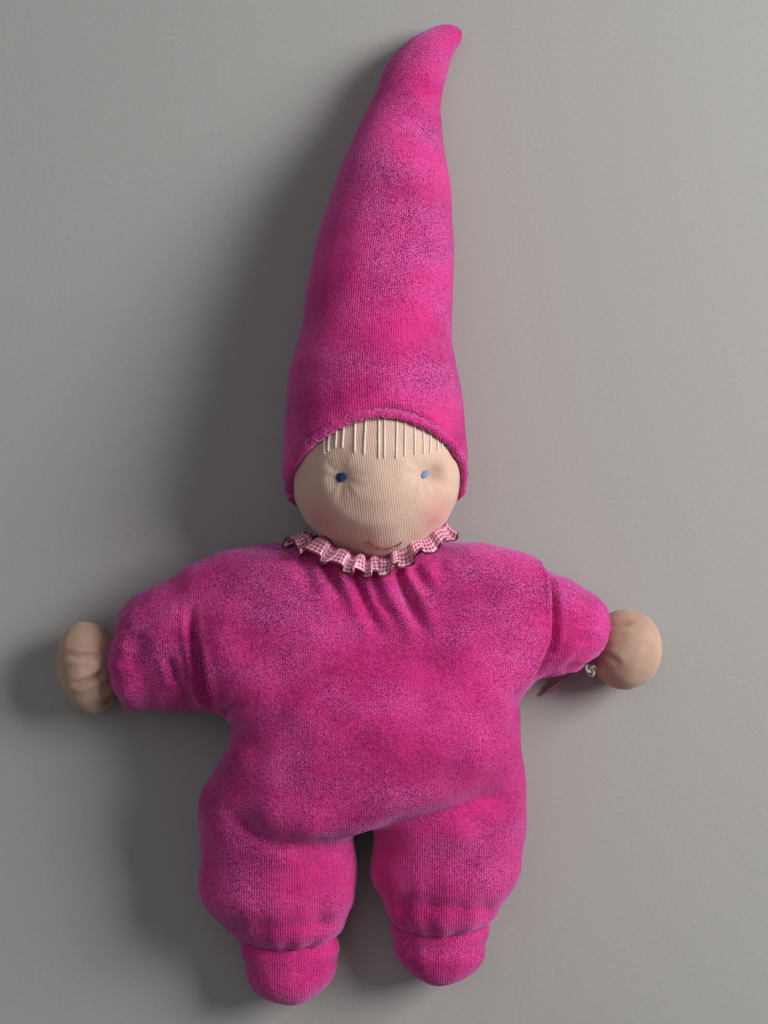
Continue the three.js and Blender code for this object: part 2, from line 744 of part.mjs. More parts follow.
const tipOutside = hatLength(0, limbSides, bend, null).subtract(belowFloor);
const tipHollow = hatLength(velour, innerSides, null, null).subtract(belowCloth(velour));
const tipFilling = hatLength(velour + gap, innerSides, bend, null).subtract(belowCloth(velour + gap));
add('hat_tip_cover', tipOutside.subtract(tipHollow), 'velour');
add('hat_tip_stuffing', tipFilling, 'wool');

// A thread along points on the head, with a hexagonal section
function threadAlong(points, radius, sides, closed) {
  const rings = points.map((point, i) => {
    const before = points[i === 0 ? (closed ? points.length - 1 : 0) : i - 1];
    const after = points[i === points.length - 1 ? (closed ? 0 : i) : i + 1];
    const direction = after.clone().sub(before).normalize();
    const outwards = point.clone().sub(headMiddle).normalize();
    const across = new THREE.Vector3().crossVectors(direction, outwards).normalize();
    const above = new THREE.Vector3().crossVectors(across, direction).normalize();
    return ovalRing(point, across, above, radius, radius, 2, sides);
  });
  if (closed) return solidOf(skin(rings, null, null));
  return solidOf(skin(rings, points[0], points[points.length - 1]));
}

// The rolled hem that frames the face
const hemDistance = head.radius + gap + hemRadius;
const hemBelow = THREE.MathUtils.radToDeg((hemRadius + gap * 2) / hemDistance);
const hemPoints = [];
for (let k = 0; k < 2 * ballSides; k++) {
  const turn = (Math.PI * k) / ballSides;
  hemPoints.push(headPoint(brimAngle(turn) + hemBelow * hoodShares.hemShare, turn, hemDistance));
}
add('hat_hem', threadAlong(hemPoints, hemRadius, 6, true), 'velour');

// Eyes, mouth and hair lie on the skin
function onFace(x, y, distance) {
  const depth = Math.sqrt(distance * distance - x * x - y * y);
  return new THREE.Vector3(headMiddle.x + x, headMiddle.y + y, headMiddle.z + depth);
}

for (const [name, side] of [['left_eye', 1], ['right_eye', -1]]) {
  const round = degrees(faceAngle + side * eyeAngle);
  const drop = eyeDrop - side * eyeDrop * faceShares.eyeTiltShare;
  const distance = head.radius + gap;
  const at = onFace(distance * Math.sin(round), -drop, distance);
  const outwards = at.clone().sub(headMiddle).normalize();
  const geometry = new THREE.SphereGeometry(1, 10, 6, 0, 2 * Math.PI, 0, Math.PI);
  geometry.scale(eyeRadius, eyeHeight, eyeRadius).translate(0, eyeHeight, 0);
  add(name, solidOf(turned(geometry, at, outwards)), 'eyes');
}

const faceAcross = head.radius * Math.sin(degrees(faceAngle)) * faceShares.mouthAcrossShare;
const mouthHalf = head.radius * mouthShares.halfWidthShare;
const mouthDrop = head.radius * mouthShares.dropShare;
const mouthPoints = [];
for (let k = 0; k <= 8; k++) {
  const share = k / 4 - 1;
  const sag = head.radius * mouthShares.sagShare * (1 - share * share);
  const distance = head.radius + gap + mouthThread;
  mouthPoints.push(onFace(faceAcross + share * mouthHalf, -mouthDrop - sag, distance));
}
add('mouth', threadAlong(mouthPoints, mouthThread, 5, false), 'mouth');

// Each hair stitch hangs from under the hem, down to about the same height
const strandEndShares = [0.2, 0.8, 0.5, 1, 0.9, 0.4, 1, 0.6, 0.9, 0.5, 1, 0.7, 0.3, 0.6, 0.1, -0.4];

function strandTop(x, distance) {
  let angle = brimAngles.frontAngle;
  const stepAngle = 0.5;
  while (angle < 90) {
    const sideways = Math.min(1, Math.abs(x) / (distance * Math.sin(degrees(angle))));
    const turn = Math.sign(x) * Math.asin(sideways) - degrees(faceAngle);
    if (angle > brimAngle(turn) + hoodShares.hairShare * hemBelow) break;
    angle += stepAngle;
  }
  return distance * Math.cos(degrees(angle));
}

for (let i = 0; i < strandCount; i++) {
  const distance = head.radius + gap + hair.threadRadius;
  const between = (hairShares.lastShare - hairShares.firstShare) / (strandCount - 1);
  const x = head.radius * (hairShares.firstShare + i * between);
  const top = strandTop(x, distance);
  const bottom = hair.endHeight - hair.longest * strandEndShares[i % strandEndShares.length];
  const points = [];
  for (let k = 0; k <= 3; k++) points.push(onFace(x, top + ((bottom - top) * k) / 3, distance));
  const name = `hair_strand_${String(i + 1).padStart(2, '0')}`;
  add(name, threadAlong(points, hair.threadRadius, 4, false), 'hair');
}

// The gathered ribbon round the neck, wavy at its outer edge, pressed between head and torso
function threeWay(values, turn) {
  const [front, side, back] = values;
  const c = Math.cos(turn);
  return side + ((front - back) / 2) * c + ((front + back) / 2 - side) * c * c;
}

const ruffleRings = [];
const ruffleSteps = waveCount * 4;
for (let i = 0; i < ruffleSteps; i++) {
  const turn = (2 * Math.PI * i) / ruffleSteps;
  const wave = Math.sin(turn * waveCount);
  const edge = (plan, swing, thick) => {
    const radius = threeWay(plan.radius, turn);
    const along = threeWay(plan.along, turn) + swing * wave + thick;
    return new THREE.Vector3(
      head.x + radius * Math.sin(turn),
      along,
      headMiddle.z + radius * Math.cos(turn),
    );
  };
  const half = ruffle.thickness / 2;
  ruffleRings.push([
    edge(ruffleInner, ruffle.innerWave, -half),
    edge(ruffleOuter, ruffle.wave, -half),
    edge(ruffleOuter, ruffle.wave, half),
    edge(ruffleInner, ruffle.innerWave, half),
  ]);
}
add('neck_ruffle', solidOf(skin(ruffleRings, null, null)), 'ribbon');

// The knot of the left wrist tie, beside the sleeve's end, and its tail
const knotAcross = new THREE.Vector3().crossVectors(leftTowards, up).normalize();
const knotOut = wristKnob + 2 * gap + 2 * threadRadius + knotRadius;
const knotMiddle = leftWrist
  .clone()
  .addScaledVector(leftTowards, knotRadius)
  .addScaledVector(knotAcross, knotOut);
add('wrist_knot', ball(knotMiddle, knotRadius, innerSides), 'thread');

const tailHeading = new THREE.Vector3(Math.cos(degrees(tailAngle)), Math.sin(degrees(tailAngle)), 0);
const tailAcross = new THREE.Vector3().crossVectors(up, tailHeading);
const tailTop = knotMiddle.clone().addScaledVector(knotAcross, knotRadius + gap + tail.width / 2);
const tailShares = [[0, 1], [0.06, 0.6], [0.2, 0.2], [0.5, 0.04], [1, 0]];
const tailRings = tailShares.map(([along, drop]) => {
  const half = (tail.width / 2) * (1 - along / 2);
  const low = tail.thickness + (tailTop.z - tail.thickness) * drop;
  const middle = tailTop.clone().addScaledVector(tailHeading, tail.length * along).setZ(low);
  return ovalRing(middle, tailAcross, up, half, tail.thickness / 2, 2, limbSides / 2);
});
const tailMiddle = (ring) => ring[0].clone().lerp(ring[ring.length / 2], 1 / 2);
const tailSkin = skin(tailRings, tailMiddle(tailRings[0]), tailMiddle(tailRings.at(-1)));
add('wrist_tail', solidOf(tailSkin), 'thread');

export default doll;
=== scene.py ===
# %% [markdown]
# A soft doll in pink velour, lying on its back
#
# The doll is sewn from cotton velour and skin-coloured jersey and stuffed with wool. This lesson
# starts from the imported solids, which hold every piece's place and every joint, and dresses each
# of them in cloth. Nothing is moved: a piece that replaces a solid is grown from a copy of it.

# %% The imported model
import math

import bmesh
import bpy
import numpy as np
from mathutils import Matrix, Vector
from mathutils.bvhtree import BVHTree


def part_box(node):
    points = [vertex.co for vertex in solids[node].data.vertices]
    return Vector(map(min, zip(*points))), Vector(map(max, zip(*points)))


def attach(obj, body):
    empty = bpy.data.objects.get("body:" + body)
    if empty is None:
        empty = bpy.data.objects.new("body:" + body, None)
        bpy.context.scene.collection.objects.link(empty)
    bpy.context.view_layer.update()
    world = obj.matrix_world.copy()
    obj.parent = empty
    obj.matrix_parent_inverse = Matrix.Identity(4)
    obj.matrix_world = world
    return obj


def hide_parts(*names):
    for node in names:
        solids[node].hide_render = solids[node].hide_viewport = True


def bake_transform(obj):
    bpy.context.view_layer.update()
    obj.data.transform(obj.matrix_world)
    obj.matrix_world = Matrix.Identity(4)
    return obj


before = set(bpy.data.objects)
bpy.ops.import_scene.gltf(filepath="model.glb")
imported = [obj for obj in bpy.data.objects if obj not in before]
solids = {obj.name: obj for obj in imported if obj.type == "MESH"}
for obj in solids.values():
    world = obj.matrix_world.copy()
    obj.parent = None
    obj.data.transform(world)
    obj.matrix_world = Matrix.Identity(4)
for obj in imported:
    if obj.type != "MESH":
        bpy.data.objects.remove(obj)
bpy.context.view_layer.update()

# %% [markdown]
# The camera and the room
#
# The photograph was taken from straight above, a little more than half a metre over the table. The
# lens is worked out from how fast heights near the camera grow in the picture. A doll in a plain
# studio needs one large soft light from the side, which shows the folds, and a pale surround that
# fills them.

# %% Camera
MM = 0.001
camera_place = (3.8 * MM, 61.8 * MM, 560 * MM)
focal_pixels = 1533
picture_height = 1024
sensor_height = 24.0


def linked(name, data):
    """A new object in the scene."""
    made = bpy.data.objects.new(name, data)
    bpy.context.scene.collection.objects.link(made)
    return made


camera = bpy.data.cameras.new("overhead")
camera.sensor_fit = "VERTICAL"
camera.sensor_height = sensor_height
camera.lens = sensor_height * focal_pixels / picture_height
camera.clip_start = 0.01
overhead = linked("overhead", camera)
overhead.location = camera_place
bpy.context.scene.camera = overhead
bpy.context.scene.view_settings.view_transform = "Standard"
print("lens:", round(camera.lens, 2), "mm")

# %% [markdown]
# Small helpers
#
# Colours are picked as sRGB hex values, as on a screen, and turned to the linear values that a
# renderer works with. One function adds a node to any tree, so that shader trees and geometry
# trees read alike.

# %% Colours and nodes
def linear(hex_colour):
    """A hex colour as linear red, green, blue and alpha."""
    parts = [int(hex_colour[i:i + 2], 16) / 255 for i in (1, 3, 5)]
    light = [p / 12.92 if p <= 0.04045 else ((p + 0.055) / 1.055) ** 2.4 for p in parts]
    return (*light, 1.0)


def add_node(tree, kind, inputs=None, **settings):
    """Adds one node. Each input is a value or the socket that feeds it."""
    node = tree.nodes.new(kind)
    for key, value in settings.items():
        setattr(node, key, value)
    for key, value in (inputs or {}).items():
        if isinstance(value, bpy.types.NodeSocket):
            tree.links.new(value, node.inputs[key])
        else:
            node.inputs[key].default_value = value
    return node


def maths(operation, *values, clamp=False):
    """The socket of one Math node, in the tree of the sockets that it works on."""
    tree = next(value.id_data for value in values if isinstance(value, bpy.types.NodeSocket))
    settings = {"operation": operation, "use_clamp": clamp}
    return add_node(tree, "ShaderNodeMath", dict(enumerate(values)), **settings).outputs[0]


def plus(first, second):
    """The socket of a sum."""
    return maths("ADD", first, second)


def times(first, second):
    """The socket of a product."""
    return maths("MULTIPLY", first, second)


def scaled(value, gain, offset):
    """The socket of a value times gain plus offset."""
    return maths("MULTIPLY_ADD", value, gain, offset)


def clamped(value, gain, offset):
    """The socket of a value times gain plus offset, kept between 0 and 1."""
    return maths("MULTIPLY_ADD", value, gain, offset, clamp=True)


def mixed(share, first, second):
    """The socket of two colours mixed."""
    inputs = {0: share, 6: first, 7: second}
    return add_node(share.id_data, "ShaderNodeMix", inputs, data_type="RGBA").outputs[2]


def vectors(operation, where, by):
    """The socket of a place shifted or stretched."""
    inputs = {0: where, 1: by}
    node = add_node(where.id_data, "ShaderNodeVectorMath", inputs, operation=operation)
    return node.outputs[0]


def grain(where, size, detail=2.0):
    """The socket of a noise whose lumps are about size across."""
    inputs = {"Vector": where, "Scale": 1 / size, "Detail": detail}
    return add_node(where.id_data, "ShaderNodeTexNoise", inputs).outputs[0]


def attribute(tree, name, kind="Fac"):
    """The socket of a stored attribute: its number, or its vector."""
    return add_node(tree, "ShaderNodeAttribute", attribute_name=name).outputs[kind]


def wales(spacing, wander):
    """The socket of a knit's wales. weave runs across them, and ribbed says how far they show."""
    tree = wander.id_data
    weave = attribute(tree, "weave", "Vector")
    across = add_node(tree, "ShaderNodeSeparateXYZ", {0: weave}).outputs[0]
    turns = times(plus(across, wander), 2 * math.pi / spacing)
    return times(scaled(maths("SINE", turns), 0.5, 0.5), attribute(tree, "ribbed"))


def new_material(name):
    """An empty material and its tree."""
    material = bpy.data.materials.new(name)
    material.use_nodes = True
    material.node_tree.nodes.clear()
    return material, material.node_tree


def finish_material(material, colour, height, depth, shader_values):
    """Ends a tree: colour and bump go into a Principled shader. Its other values are constants."""
    tree = material.node_tree
    bump = add_node(tree, "ShaderNodeBump", {"Strength": 1.0, "Distance": depth, "Height": height})
    values = {**shader_values, "Base Color": colour, "Normal": bump.outputs[0]}
    shader = add_node(tree, "ShaderNodeBsdfPrincipled", values)
    add_node(tree, "ShaderNodeOutputMaterial", {"Surface": shader.outputs[0]})
    print("material:", material.name)
    return material


# %% [markdown]
# Velour
#
# Cotton velour is a knit whose loops are cut to a soft pile. It has no gloss: light catches the
# ends of the fibres, so it looks paler and a little lilac where it turns away, which is what sheen
# is for. Lilac fibre ends are painted into the colour as well, in patches over the pile's speckle:
# that is painted sheen. The knit's wales, about a millimetre apart, show through as fine lines
# where the cloth is stretched, and the nap of the pile leaves lighter and darker patches. Each
# piece stores where its cloth lay before it was bent, so that the pattern moves with it.

# %% Velour
WALE = 0.85 * MM
PILE = 0.45 * MM
CLUMP = 2.2 * MM
NAP = 21 * MM
# The size of the patches of painted sheen.
PAINTED_SHEEN_PATCH = 26 * MM


def velour(name, deep, pale, painted_sheen):
    """Cut pile on a knit. An attribute sets how far the pile stands up and its painted sheen."""
    material, tree = new_material(name)
    stroke = attribute(tree, "stroke")
    rest = attribute(tree, "rest", "Vector")
    pile = grain(rest, PILE)
    clumps = grain(rest, CLUMP)
    nap = grain(rest, NAP, 3.0)
    # Patches where lilac sheen is painted.
    bands = vectors("MULTIPLY", rest, (1.0, 1.8, 1.0))
    painted_sheen_noise = grain(vectors("ADD", bands, (0.4, 0.1, 0.7)), PAINTED_SHEEN_PATCH)
    ribs = wales(WALE, times(clumps, 0.5 * WALE))
    share = scaled(stroke, -0.25, scaled(nap, 1.2, scaled(pile, 2.4, -1.44)))
    share = plus(clamped(clumps, 0.6, -0.12), plus(share, ribs))
    colour = mixed(clamped(share, 1.0, 0.0), linear(deep), linear(pale))
    # Painted sheen: lilac fibre ends in patches, more where the pile stands up.
    painted_sheen_patches = clamped(scaled(painted_sheen_noise, 3.0, stroke), 1.0, -1.1)
    painted_sheen_tips = times(clamped(pile, 4.5, -2.0), painted_sheen_patches)
    colour = mixed(times(painted_sheen_tips, 0.62), colour, linear(painted_sheen))
    height = plus(ribs, plus(pile, clumps))
    return finish_material(material, colour, height, 0.35 * MM, {
        "Roughness": 0.95, "Specular IOR Level": 0.15, "Sheen Weight": 0.7,
        "Sheen Roughness": 0.45, "Sheen Tint": linear("#E0A6E8"),
    })


# Deep and pale pink, and the lilac of the painted sheen.
pink_velour = velour("pink_cotton_velour", "#841052", "#E6388C", "#E07CC6")

# %% [markdown]
# Jersey
#
# The skin is a fine cotton jersey, pulled tight over the wool. Its wales are finer than the
# velour's. A maker rubs a little red wax crayon on the cheeks, so the blush has soft edges and
# sits in the cloth.

# %% Jersey
RIB = 0.8 * MM
FIBRE = 0.45 * MM
CLOUD = 9 * MM


def jersey(name, deep, pale, blush, shade_and_soil):
    """Fine stretched knit with a blush, and brown painted shade and soil where two attributes say.
    """
    material, tree = new_material(name)
    rest = attribute(tree, "rest", "Vector")
    fibre = grain(rest, FIBRE)
    cloud = grain(rest, CLOUD)
    ribs = wales(RIB, times(cloud, 0.8 * RIB))
    share = scaled(ribs, 0.32, times(fibre, 0.75))
    cloth = mixed(share, linear(deep), linear(pale))
    # Painted shade, with some soil: a brown laid in where the shade attribute says.
    shade_and_soil_share = times(attribute(tree, "shade"), plus(cloud, 0.5))
    cloth = mixed(shade_and_soil_share, cloth, linear(shade_and_soil))
    patchy = scaled(fibre, 0.5, 0.7)
    blushed = times(attribute(tree, "blush"), patchy)
    colour = mixed(blushed, cloth, linear(blush))
    height = scaled(ribs, 0.6, fibre)
    return finish_material(material, colour, height, 0.12 * MM, {
        "Roughness": 0.85, "Specular IOR Level": 0.25, "Sheen Weight": 0.25,
        "Sheen Roughness": 0.5, "Sheen Tint": linear("#FFF1E6"),
        "Subsurface Weight": 0.08, "Subsurface Scale": 1.5 * MM,
    })


# The last colour is the brown of the painted shade and soil.
skin_jersey = jersey("skin_cotton_jersey", "#CFA890", "#F0D2BE", "#D9727C", "#8F6B58")

# %% [markdown]
# Threads, yarn and ribbon
#
# Embroidery cotton and sewing thread are twisted from plies, which shows as a slanted ripple. The
# ribbon is woven satin with a small check and a dark red selvage at both edges. Its check is drawn
# along and across the ribbon, from where each point lay before the ribbon was gathered.

# %% Threads
def twisted(name, deep, pale, ply):
    """Thread twisted from plies that are about ply long."""
    material, tree = new_material(name)
    rest = attribute(tree, "rest", "Vector")
    fibre = grain(rest, 0.25 * MM)
    wave = {"Vector": rest, "Scale": 1 / ply, "Distortion": 2.0, "Detail": 1.0}
    plies = add_node(tree, "ShaderNodeTexWave", wave, bands_direction="DIAGONAL").outputs[1]
    share = scaled(plies, 0.5, times(fibre, 0.5))
    colour = mixed(share, linear(deep), linear(pale))
    return finish_material(material, colour, share, 0.08 * MM, {
        "Roughness": 0.7, "Specular IOR Level": 0.3, "Sheen Weight": 0.2, "Sheen Roughness": 0.4,
    })


strong_thread = twisted("strong_linen_thread", "#B9ADA2", "#E4DCD2", 1.2 * MM)
cream_yarn = twisted("cream_wool_yarn", "#D9CFC4", "#F6F0E8", 1.2 * MM)
mouth_cotton = twisted("orange_red_embroidery_cotton", "#7A2620", "#B24A32", 0.8 * MM)
navy_cotton = twisted("navy_embroidery_cotton", "#161B40", "#3A4682", 0.6 * MM)
blue_cotton = twisted("blue_embroidery_cotton", "#4A6CB0", "#A9BEE2", 0.6 * MM)
mauve_ribbon = twisted("mauve_taffeta_ribbon", "#7A5560", "#B08A92", 0.9 * MM)
hem_thread = twisted("pink_overlock_thread", "#A8286E", "#E384BE", 1.0 * MM)

# %% Gingham ribbon
CHECK = 1.7 * MM
RIBBON_WIDTH = 9 * MM
SELVAGE = 1.2 * MM


def striped(where, spacing):
    """One for the dark stripe of a check, nought for the pale one, with a soft edge."""
    turns = times(where, 2 * math.pi / spacing)
    return clamped(maths("SINE", turns), 3.0, 0.5)


def checked(name, pale, dark, edge):
    """A small woven check with a plain edge. weave holds how far along and across a point is."""
    material, tree = new_material(name)
    weave = attribute(tree, "weave", "Vector")
    along, across, _ = add_node(tree, "ShaderNodeSeparateXYZ", {0: weave}).outputs
    stripes = plus(striped(across, CHECK), striped(along, CHECK))
    check = mixed(times(stripes, 0.5), linear(pale), linear(dark))
    from_middle = maths("ABSOLUTE", across)
    past = maths("SUBTRACT", from_middle, RIBBON_WIDTH / 2 - SELVAGE)
    colour = mixed(clamped(past, 3 / MM, 0.0), check, linear(edge))
    satin = grain(weave, 0.3 * MM)
    return finish_material(material, colour, satin, 0.05 * MM, {
        "Roughness": 0.3, "Specular IOR Level": 0.6, "Sheen Weight": 0.15,
    })


gingham = checked("gingham_satin_ribbon", "#F2BFD3", "#A81452", "#7E1238")

# %% [markdown]
# Skins grown from the solids
#
# Each cover on the doll is a bag that its filling rounds out. A copy of the solid is merged,
# remeshed evenly and smoothed, which gives an even mesh that folds can be pressed into. Where a
# cover runs on under its neighbour, as a leg does into the body, a second, smaller copy is pushed
# in there first.

# %% Points of a mesh
def vectors_of(layer, name):
    """One vector for each point, from a layer of a mesh."""
    flat = np.empty(len(layer) * 3, np.float32)
    layer.foreach_get(name, flat)
    return flat.reshape(-1, 3).astype(float)


def points_of(mesh):
    """A mesh's points in millimetres."""
    return vectors_of(mesh.vertices, "co") / MM


def normals_of(mesh):
    """The direction that the surface faces at each point."""
    return vectors_of(mesh.vertex_normals, "vector")


def set_points(mesh, places):
    """Moves a mesh's points to places in millimetres."""
    mesh.vertices.foreach_set("co", (places * MM).astype(np.float32).ravel())
    mesh.update()


def store(mesh, name, values):
    """Keeps a number or a vector for each point. A single number goes to all of them."""
    values = np.asarray(values, np.float32)
    if values.ndim == 0:
        values = np.full(len(mesh.vertices), values)
    kind, key = ("FLOAT", "value") if values.ndim == 1 else ("FLOAT_VECTOR", "vector")
    mesh.attributes.new(name, kind, "POINT").data.foreach_set(key, values.ravel())


def mesh_of(name, places, edges=(), faces=()):
    """A new mesh from points in millimetres."""
    mesh = bpy.data.meshes.new(name)
    mesh.from_pydata([tuple(place) for place in np.asarray(places) * MM], edges, faces)
    return mesh


def show(name, mesh, material):
    """A new smooth piece with one material."""
    mesh.materials.clear()
    mesh.materials.append(material)
    mesh.polygons.foreach_set("use_smooth", np.ones(len(mesh.polygons), bool))
    mesh.name = name
    return linked(name, mesh)


def baked(piece):
    """The piece's mesh with its modifiers applied."""
    graph = bpy.context.evaluated_depsgraph_get()
    made = bpy.data.meshes.new_from_object(piece.evaluated_get(graph), depsgraph=graph)
    piece.modifiers.clear()
    return made


def thicken(piece, thickness):
    """Gives a strip its thickness in millimetres, half of it on each side."""
    solid = piece.modifiers.new("thickness", "SOLIDIFY")
    solid.thickness = thickness * MM
    solid.offset = 0.0
    piece.data = baked(piece)


# %% A skin over copies of solids
def copy_of(source, grow, middle=(0, 0, 0), shrink=1.0, shift=(0, 0, 0)):
    """A merged copy of a solid, grown, then shrunk about middle and shifted, all in millimetres."""
    part = bmesh.new()
    part.from_mesh(solids[source].data)
    bmesh.ops.remove_doubles(part, verts=part.verts, dist=0.001 * MM)
    part.normal_update()
    middle = Vector(middle) * MM
    for point in part.verts:
        grown = point.co + point.normal * grow * MM
        point.co = middle + (grown - middle) * shrink + Vector(shift) * MM
    return part


def pad(middle, halves):
    """An egg of wool that fills a hollow."""
    part = bmesh.new()
    bmesh.ops.create_icosphere(part, subdivisions=3, radius=1)
    for point in part.verts:
        point.co = Vector([(m + h * v) * MM for m, h, v in zip(middle, halves, point.co)])
    return part


def skin_over(name, sources, voxel, smoothing, grow, tucks=(), pads=()):
    """A closed, even mesh round copies of the solids, with tucked-in copies and pads taken in."""
    parts = [copy_of(source, grow) for source in sources]
    parts += [copy_of(source, grow, *tuck) for source, *tuck in tucks]
    parts += [pad(*egg) for egg in pads]
    whole = bmesh.new()
    for part in parts:
        passing = bpy.data.meshes.new("passing")
        part.to_mesh(passing)
        part.free()
        whole.from_mesh(passing)
        bpy.data.meshes.remove(passing)
    mesh = bpy.data.meshes.new(name)
    whole.to_mesh(mesh)
    whole.free()
    piece = linked(name, mesh)
    remesh = piece.modifiers.new("even", "REMESH")
    remesh.mode = "VOXEL"
    remesh.voxel_size = voxel * MM
    smooth = piece.modifiers.new("soft", "SMOOTH")
    smooth.factor = 0.5
    smooth.iterations = smoothing
    made = baked(piece)
    bpy.data.objects.remove(piece)
    made.name = name
    print("skin:", name, len(made.vertices), "points")
    return made


# %% [markdown]
# Folds
#
# A gathered or folded cloth is a row of valleys with a soft lip on each side. Each fold is drawn
# as a short path on the front, as a maker would chalk it, and pressed into the surface along its
# normals. Gathers under a tie are a wave round the limb that dies away from the thread.

# %% Folds and gathers
def eased(share):
    """From 0 to 1 with no sudden start or end."""
    share = np.clip(share, 0, 1)
    return share * share * (3 - 2 * share)


def near_path(places, path):
    """Each point's distance from a path, how far along it is, from 0 to 1, and on which side."""
    path = np.array(path, float)
    runs = np.diff(path, axis=0)
    lengths = np.linalg.norm(runs, axis=1)
    away = np.full(len(places), np.inf)
    along, side = np.zeros((2, len(places)))
    done = 0.0
    for start, run, length in zip(path[:-1], runs, lengths):
        share = np.clip((places - start) @ run / length ** 2, 0, 1)
        gap = np.linalg.norm(places - start - share[:, None] * run, axis=1)
        nearer = gap < away
        away = np.where(nearer, gap, away)
        along = np.where(nearer, (done + share * length) / lengths.sum(), along)
        turned = run[0] * (places[:, 1] - start[1]) - run[1] * (places[:, 0] - start[0])
        side = np.where(nearer, np.sign(turned), side)
        done += length
    return away, along, side


def fold(places, facing, path, depth, width, lip=0.4, start=0.15, end=0.3):
    """A valley of depth and width along a path on the front, with lips of lip times its depth."""
    away, along, _ = near_path(places[:, :2], path)
    fade = eased((along + 1e-6) / max(start, 1e-6)) * eased((1 - along) / max(end, 1e-6))
    valley = -np.exp(-(away / width) ** 2) + lip * np.exp(-((away - 2.1 * width) / width) ** 2)
    return depth * valley * fade * eased((facing[:, 2] + 0.1) / 0.5)


def overlap(places, facing, path, depth, sharp, soft):
    """A step where one cushion lies over the next, which is on the left of the path."""
    away, along, side = near_path(places[:, :2], path)
    width = np.where(side > 0, soft, sharp)
    fade = eased(along / 0.05) * eased((1 - along) / 0.15)
    return -depth * np.exp(-(away / width) ** 2) * fade * eased((facing[:, 2] + 0.5) / 0.5)


def relaxed(mesh, places, share, rounds):
    """Evens out a mesh where share is near 1, as smoothing does."""
    ends = np.empty(len(mesh.edges) * 2, np.int32)
    mesh.edges.foreach_get("vertices", ends)
    first, second = ends[0::2], ends[1::2]
    count = np.bincount(ends, minlength=len(places))
    for _ in range(rounds):
        total = np.stack([
            np.bincount(first, places[second, k], len(places))
            + np.bincount(second, places[first, k], len(places)) for k in range(3)
        ], axis=1)
        places = places + (0.6 * share)[:, None] * (total / count[:, None] - places)
    return places


def waves(angle, count, spread, seed):
    """An uneven wave with about count crests in a turn."""
    rng = np.random.default_rng(seed)
    total = np.zeros(len(angle))
    for k in range(max(1, count - spread), count + spread + 1):
        total += rng.uniform(0.5, 1.0) * np.cos(k * angle + rng.uniform(0, 2 * math.pi))
    return total / math.sqrt(2 * spread + 1)


def lumps(places, size, seed):
    """A soft uneven swelling, about -1 to 1, with lumps about size across."""
    rng = np.random.default_rng(seed)
    total = np.zeros(len(places))
    for _ in range(14):
        way = rng.normal(size=3)
        way *= 2 * math.pi / (size * rng.uniform(0.8, 1.8)) / np.linalg.norm(way)
        total += np.cos(places @ way + rng.uniform(0, 2 * math.pi))
    return total / math.sqrt(14)


def round_axis(places, middle, towards):
    """How far along an axis each point is, its angle round it from the front, and its distance."""
    towards = np.array(towards, float) / np.linalg.norm(towards)
    side = np.cross(towards, (0, 0, 1))
    side /= np.linalg.norm(side)
    front = np.cross(side, towards)
    offset = places - np.array(middle, float)
    across, height = offset @ side, offset @ front
    return offset @ towards, np.arctan2(across, height), np.hypot(across, height)


def gathers(places, middle, towards, count, depth, reach, seed):
    """Pleats that start at middle and die away along an axis."""
    along, angle, _ = round_axis(places, middle, towards)
    return depth * waves(angle, count, 3, seed) * np.exp(-np.abs(along) / reach)


def settle(places, floor=0.15):
    """Nothing goes through the table."""
    places[:, 2] = np.maximum(places[:, 2], floor)
    return places


# %% [markdown]
# How the pile lies
#
# A hand run over velour leaves marks: where the pile stands up it is darker, with speckled lilac
# fibre ends of painted sheen, and where it lies down it is smooth and red. Each mark is a soft spot
# on the front, with its place, its half width and half height in millimetres, and how far the pile
# stands up there.

# %% Marks in the pile
nap_and_sheen_marks = [
    (-35, 35, 16, 13, 0.55), (38, 37, 15, 10, 0.45), (-25, -24, 14, 11, 0.3),
    (27, -9, 17, 20, -0.5), (-21, -64, 12, 12, -0.55), (-46, -62, 9, 16, 0.5),
    (6, -56, 7, 11, -0.6), (26, -54, 12, 8, 0.25), (-72, 14, 14, 14, 0.5),
    (70, 36, 8, 6, 0.6), (69, 20, 8, 9, -0.5), (-4, -15, 11, 11, -0.35),
    (1, 168, 8, 24, 0.5), (21, 106, 12, 4, 0.8), (19, 163, 9, 5, 0.6),
    (19, 193, 8, 4, 0.7), (20, 122, 11, 5, -0.4), (22, 93, 9, 4, -0.4),
    (22, 141, 9, 4, -0.3), (25, 222, 9, 6, 0.3), (22, 151, 9, 4, 0.8),
    (27, 130, 5, 7, 0.6), (8, 178, 20, 14, 0.3), (25, 64, 8, 9, -0.2),
    (26, -66, 9, 8, -0.5), (24, -92, 14, 12, -0.3), (-28, -96, 12, 10, -0.3),
]


def nap_and_sheen_at(places):
    """How far the pile stands up at each point, from -1 to 1, which also sets its painted sheen."""
    total = np.zeros(len(places))
    for x, y, wide, tall, amount in nap_and_sheen_marks:
        right, up = (places[:, 0] - x) / wide, (places[:, 1] - y) / tall
        total += amount * np.exp(-right ** 2 - up ** 2)
    return np.clip(total, -1, 1)


def dressed(mesh, push, across, along, ribbed):
    """Pushes a skin out along its normals, and stores how its cloth lies."""
    places = settle(points_of(mesh) + normals_of(mesh) * push[:, None])
    set_points(mesh, places)
    store(mesh, "rest", places * MM)
    store(mesh, "weave", np.stack([across, along, np.zeros(len(places))], axis=1) * MM)
    store(mesh, "ribbed", ribbed)
    # How far the pile stands up, which also sets where sheen is painted.
    store(mesh, "stroke", nap_and_sheen_at(places))
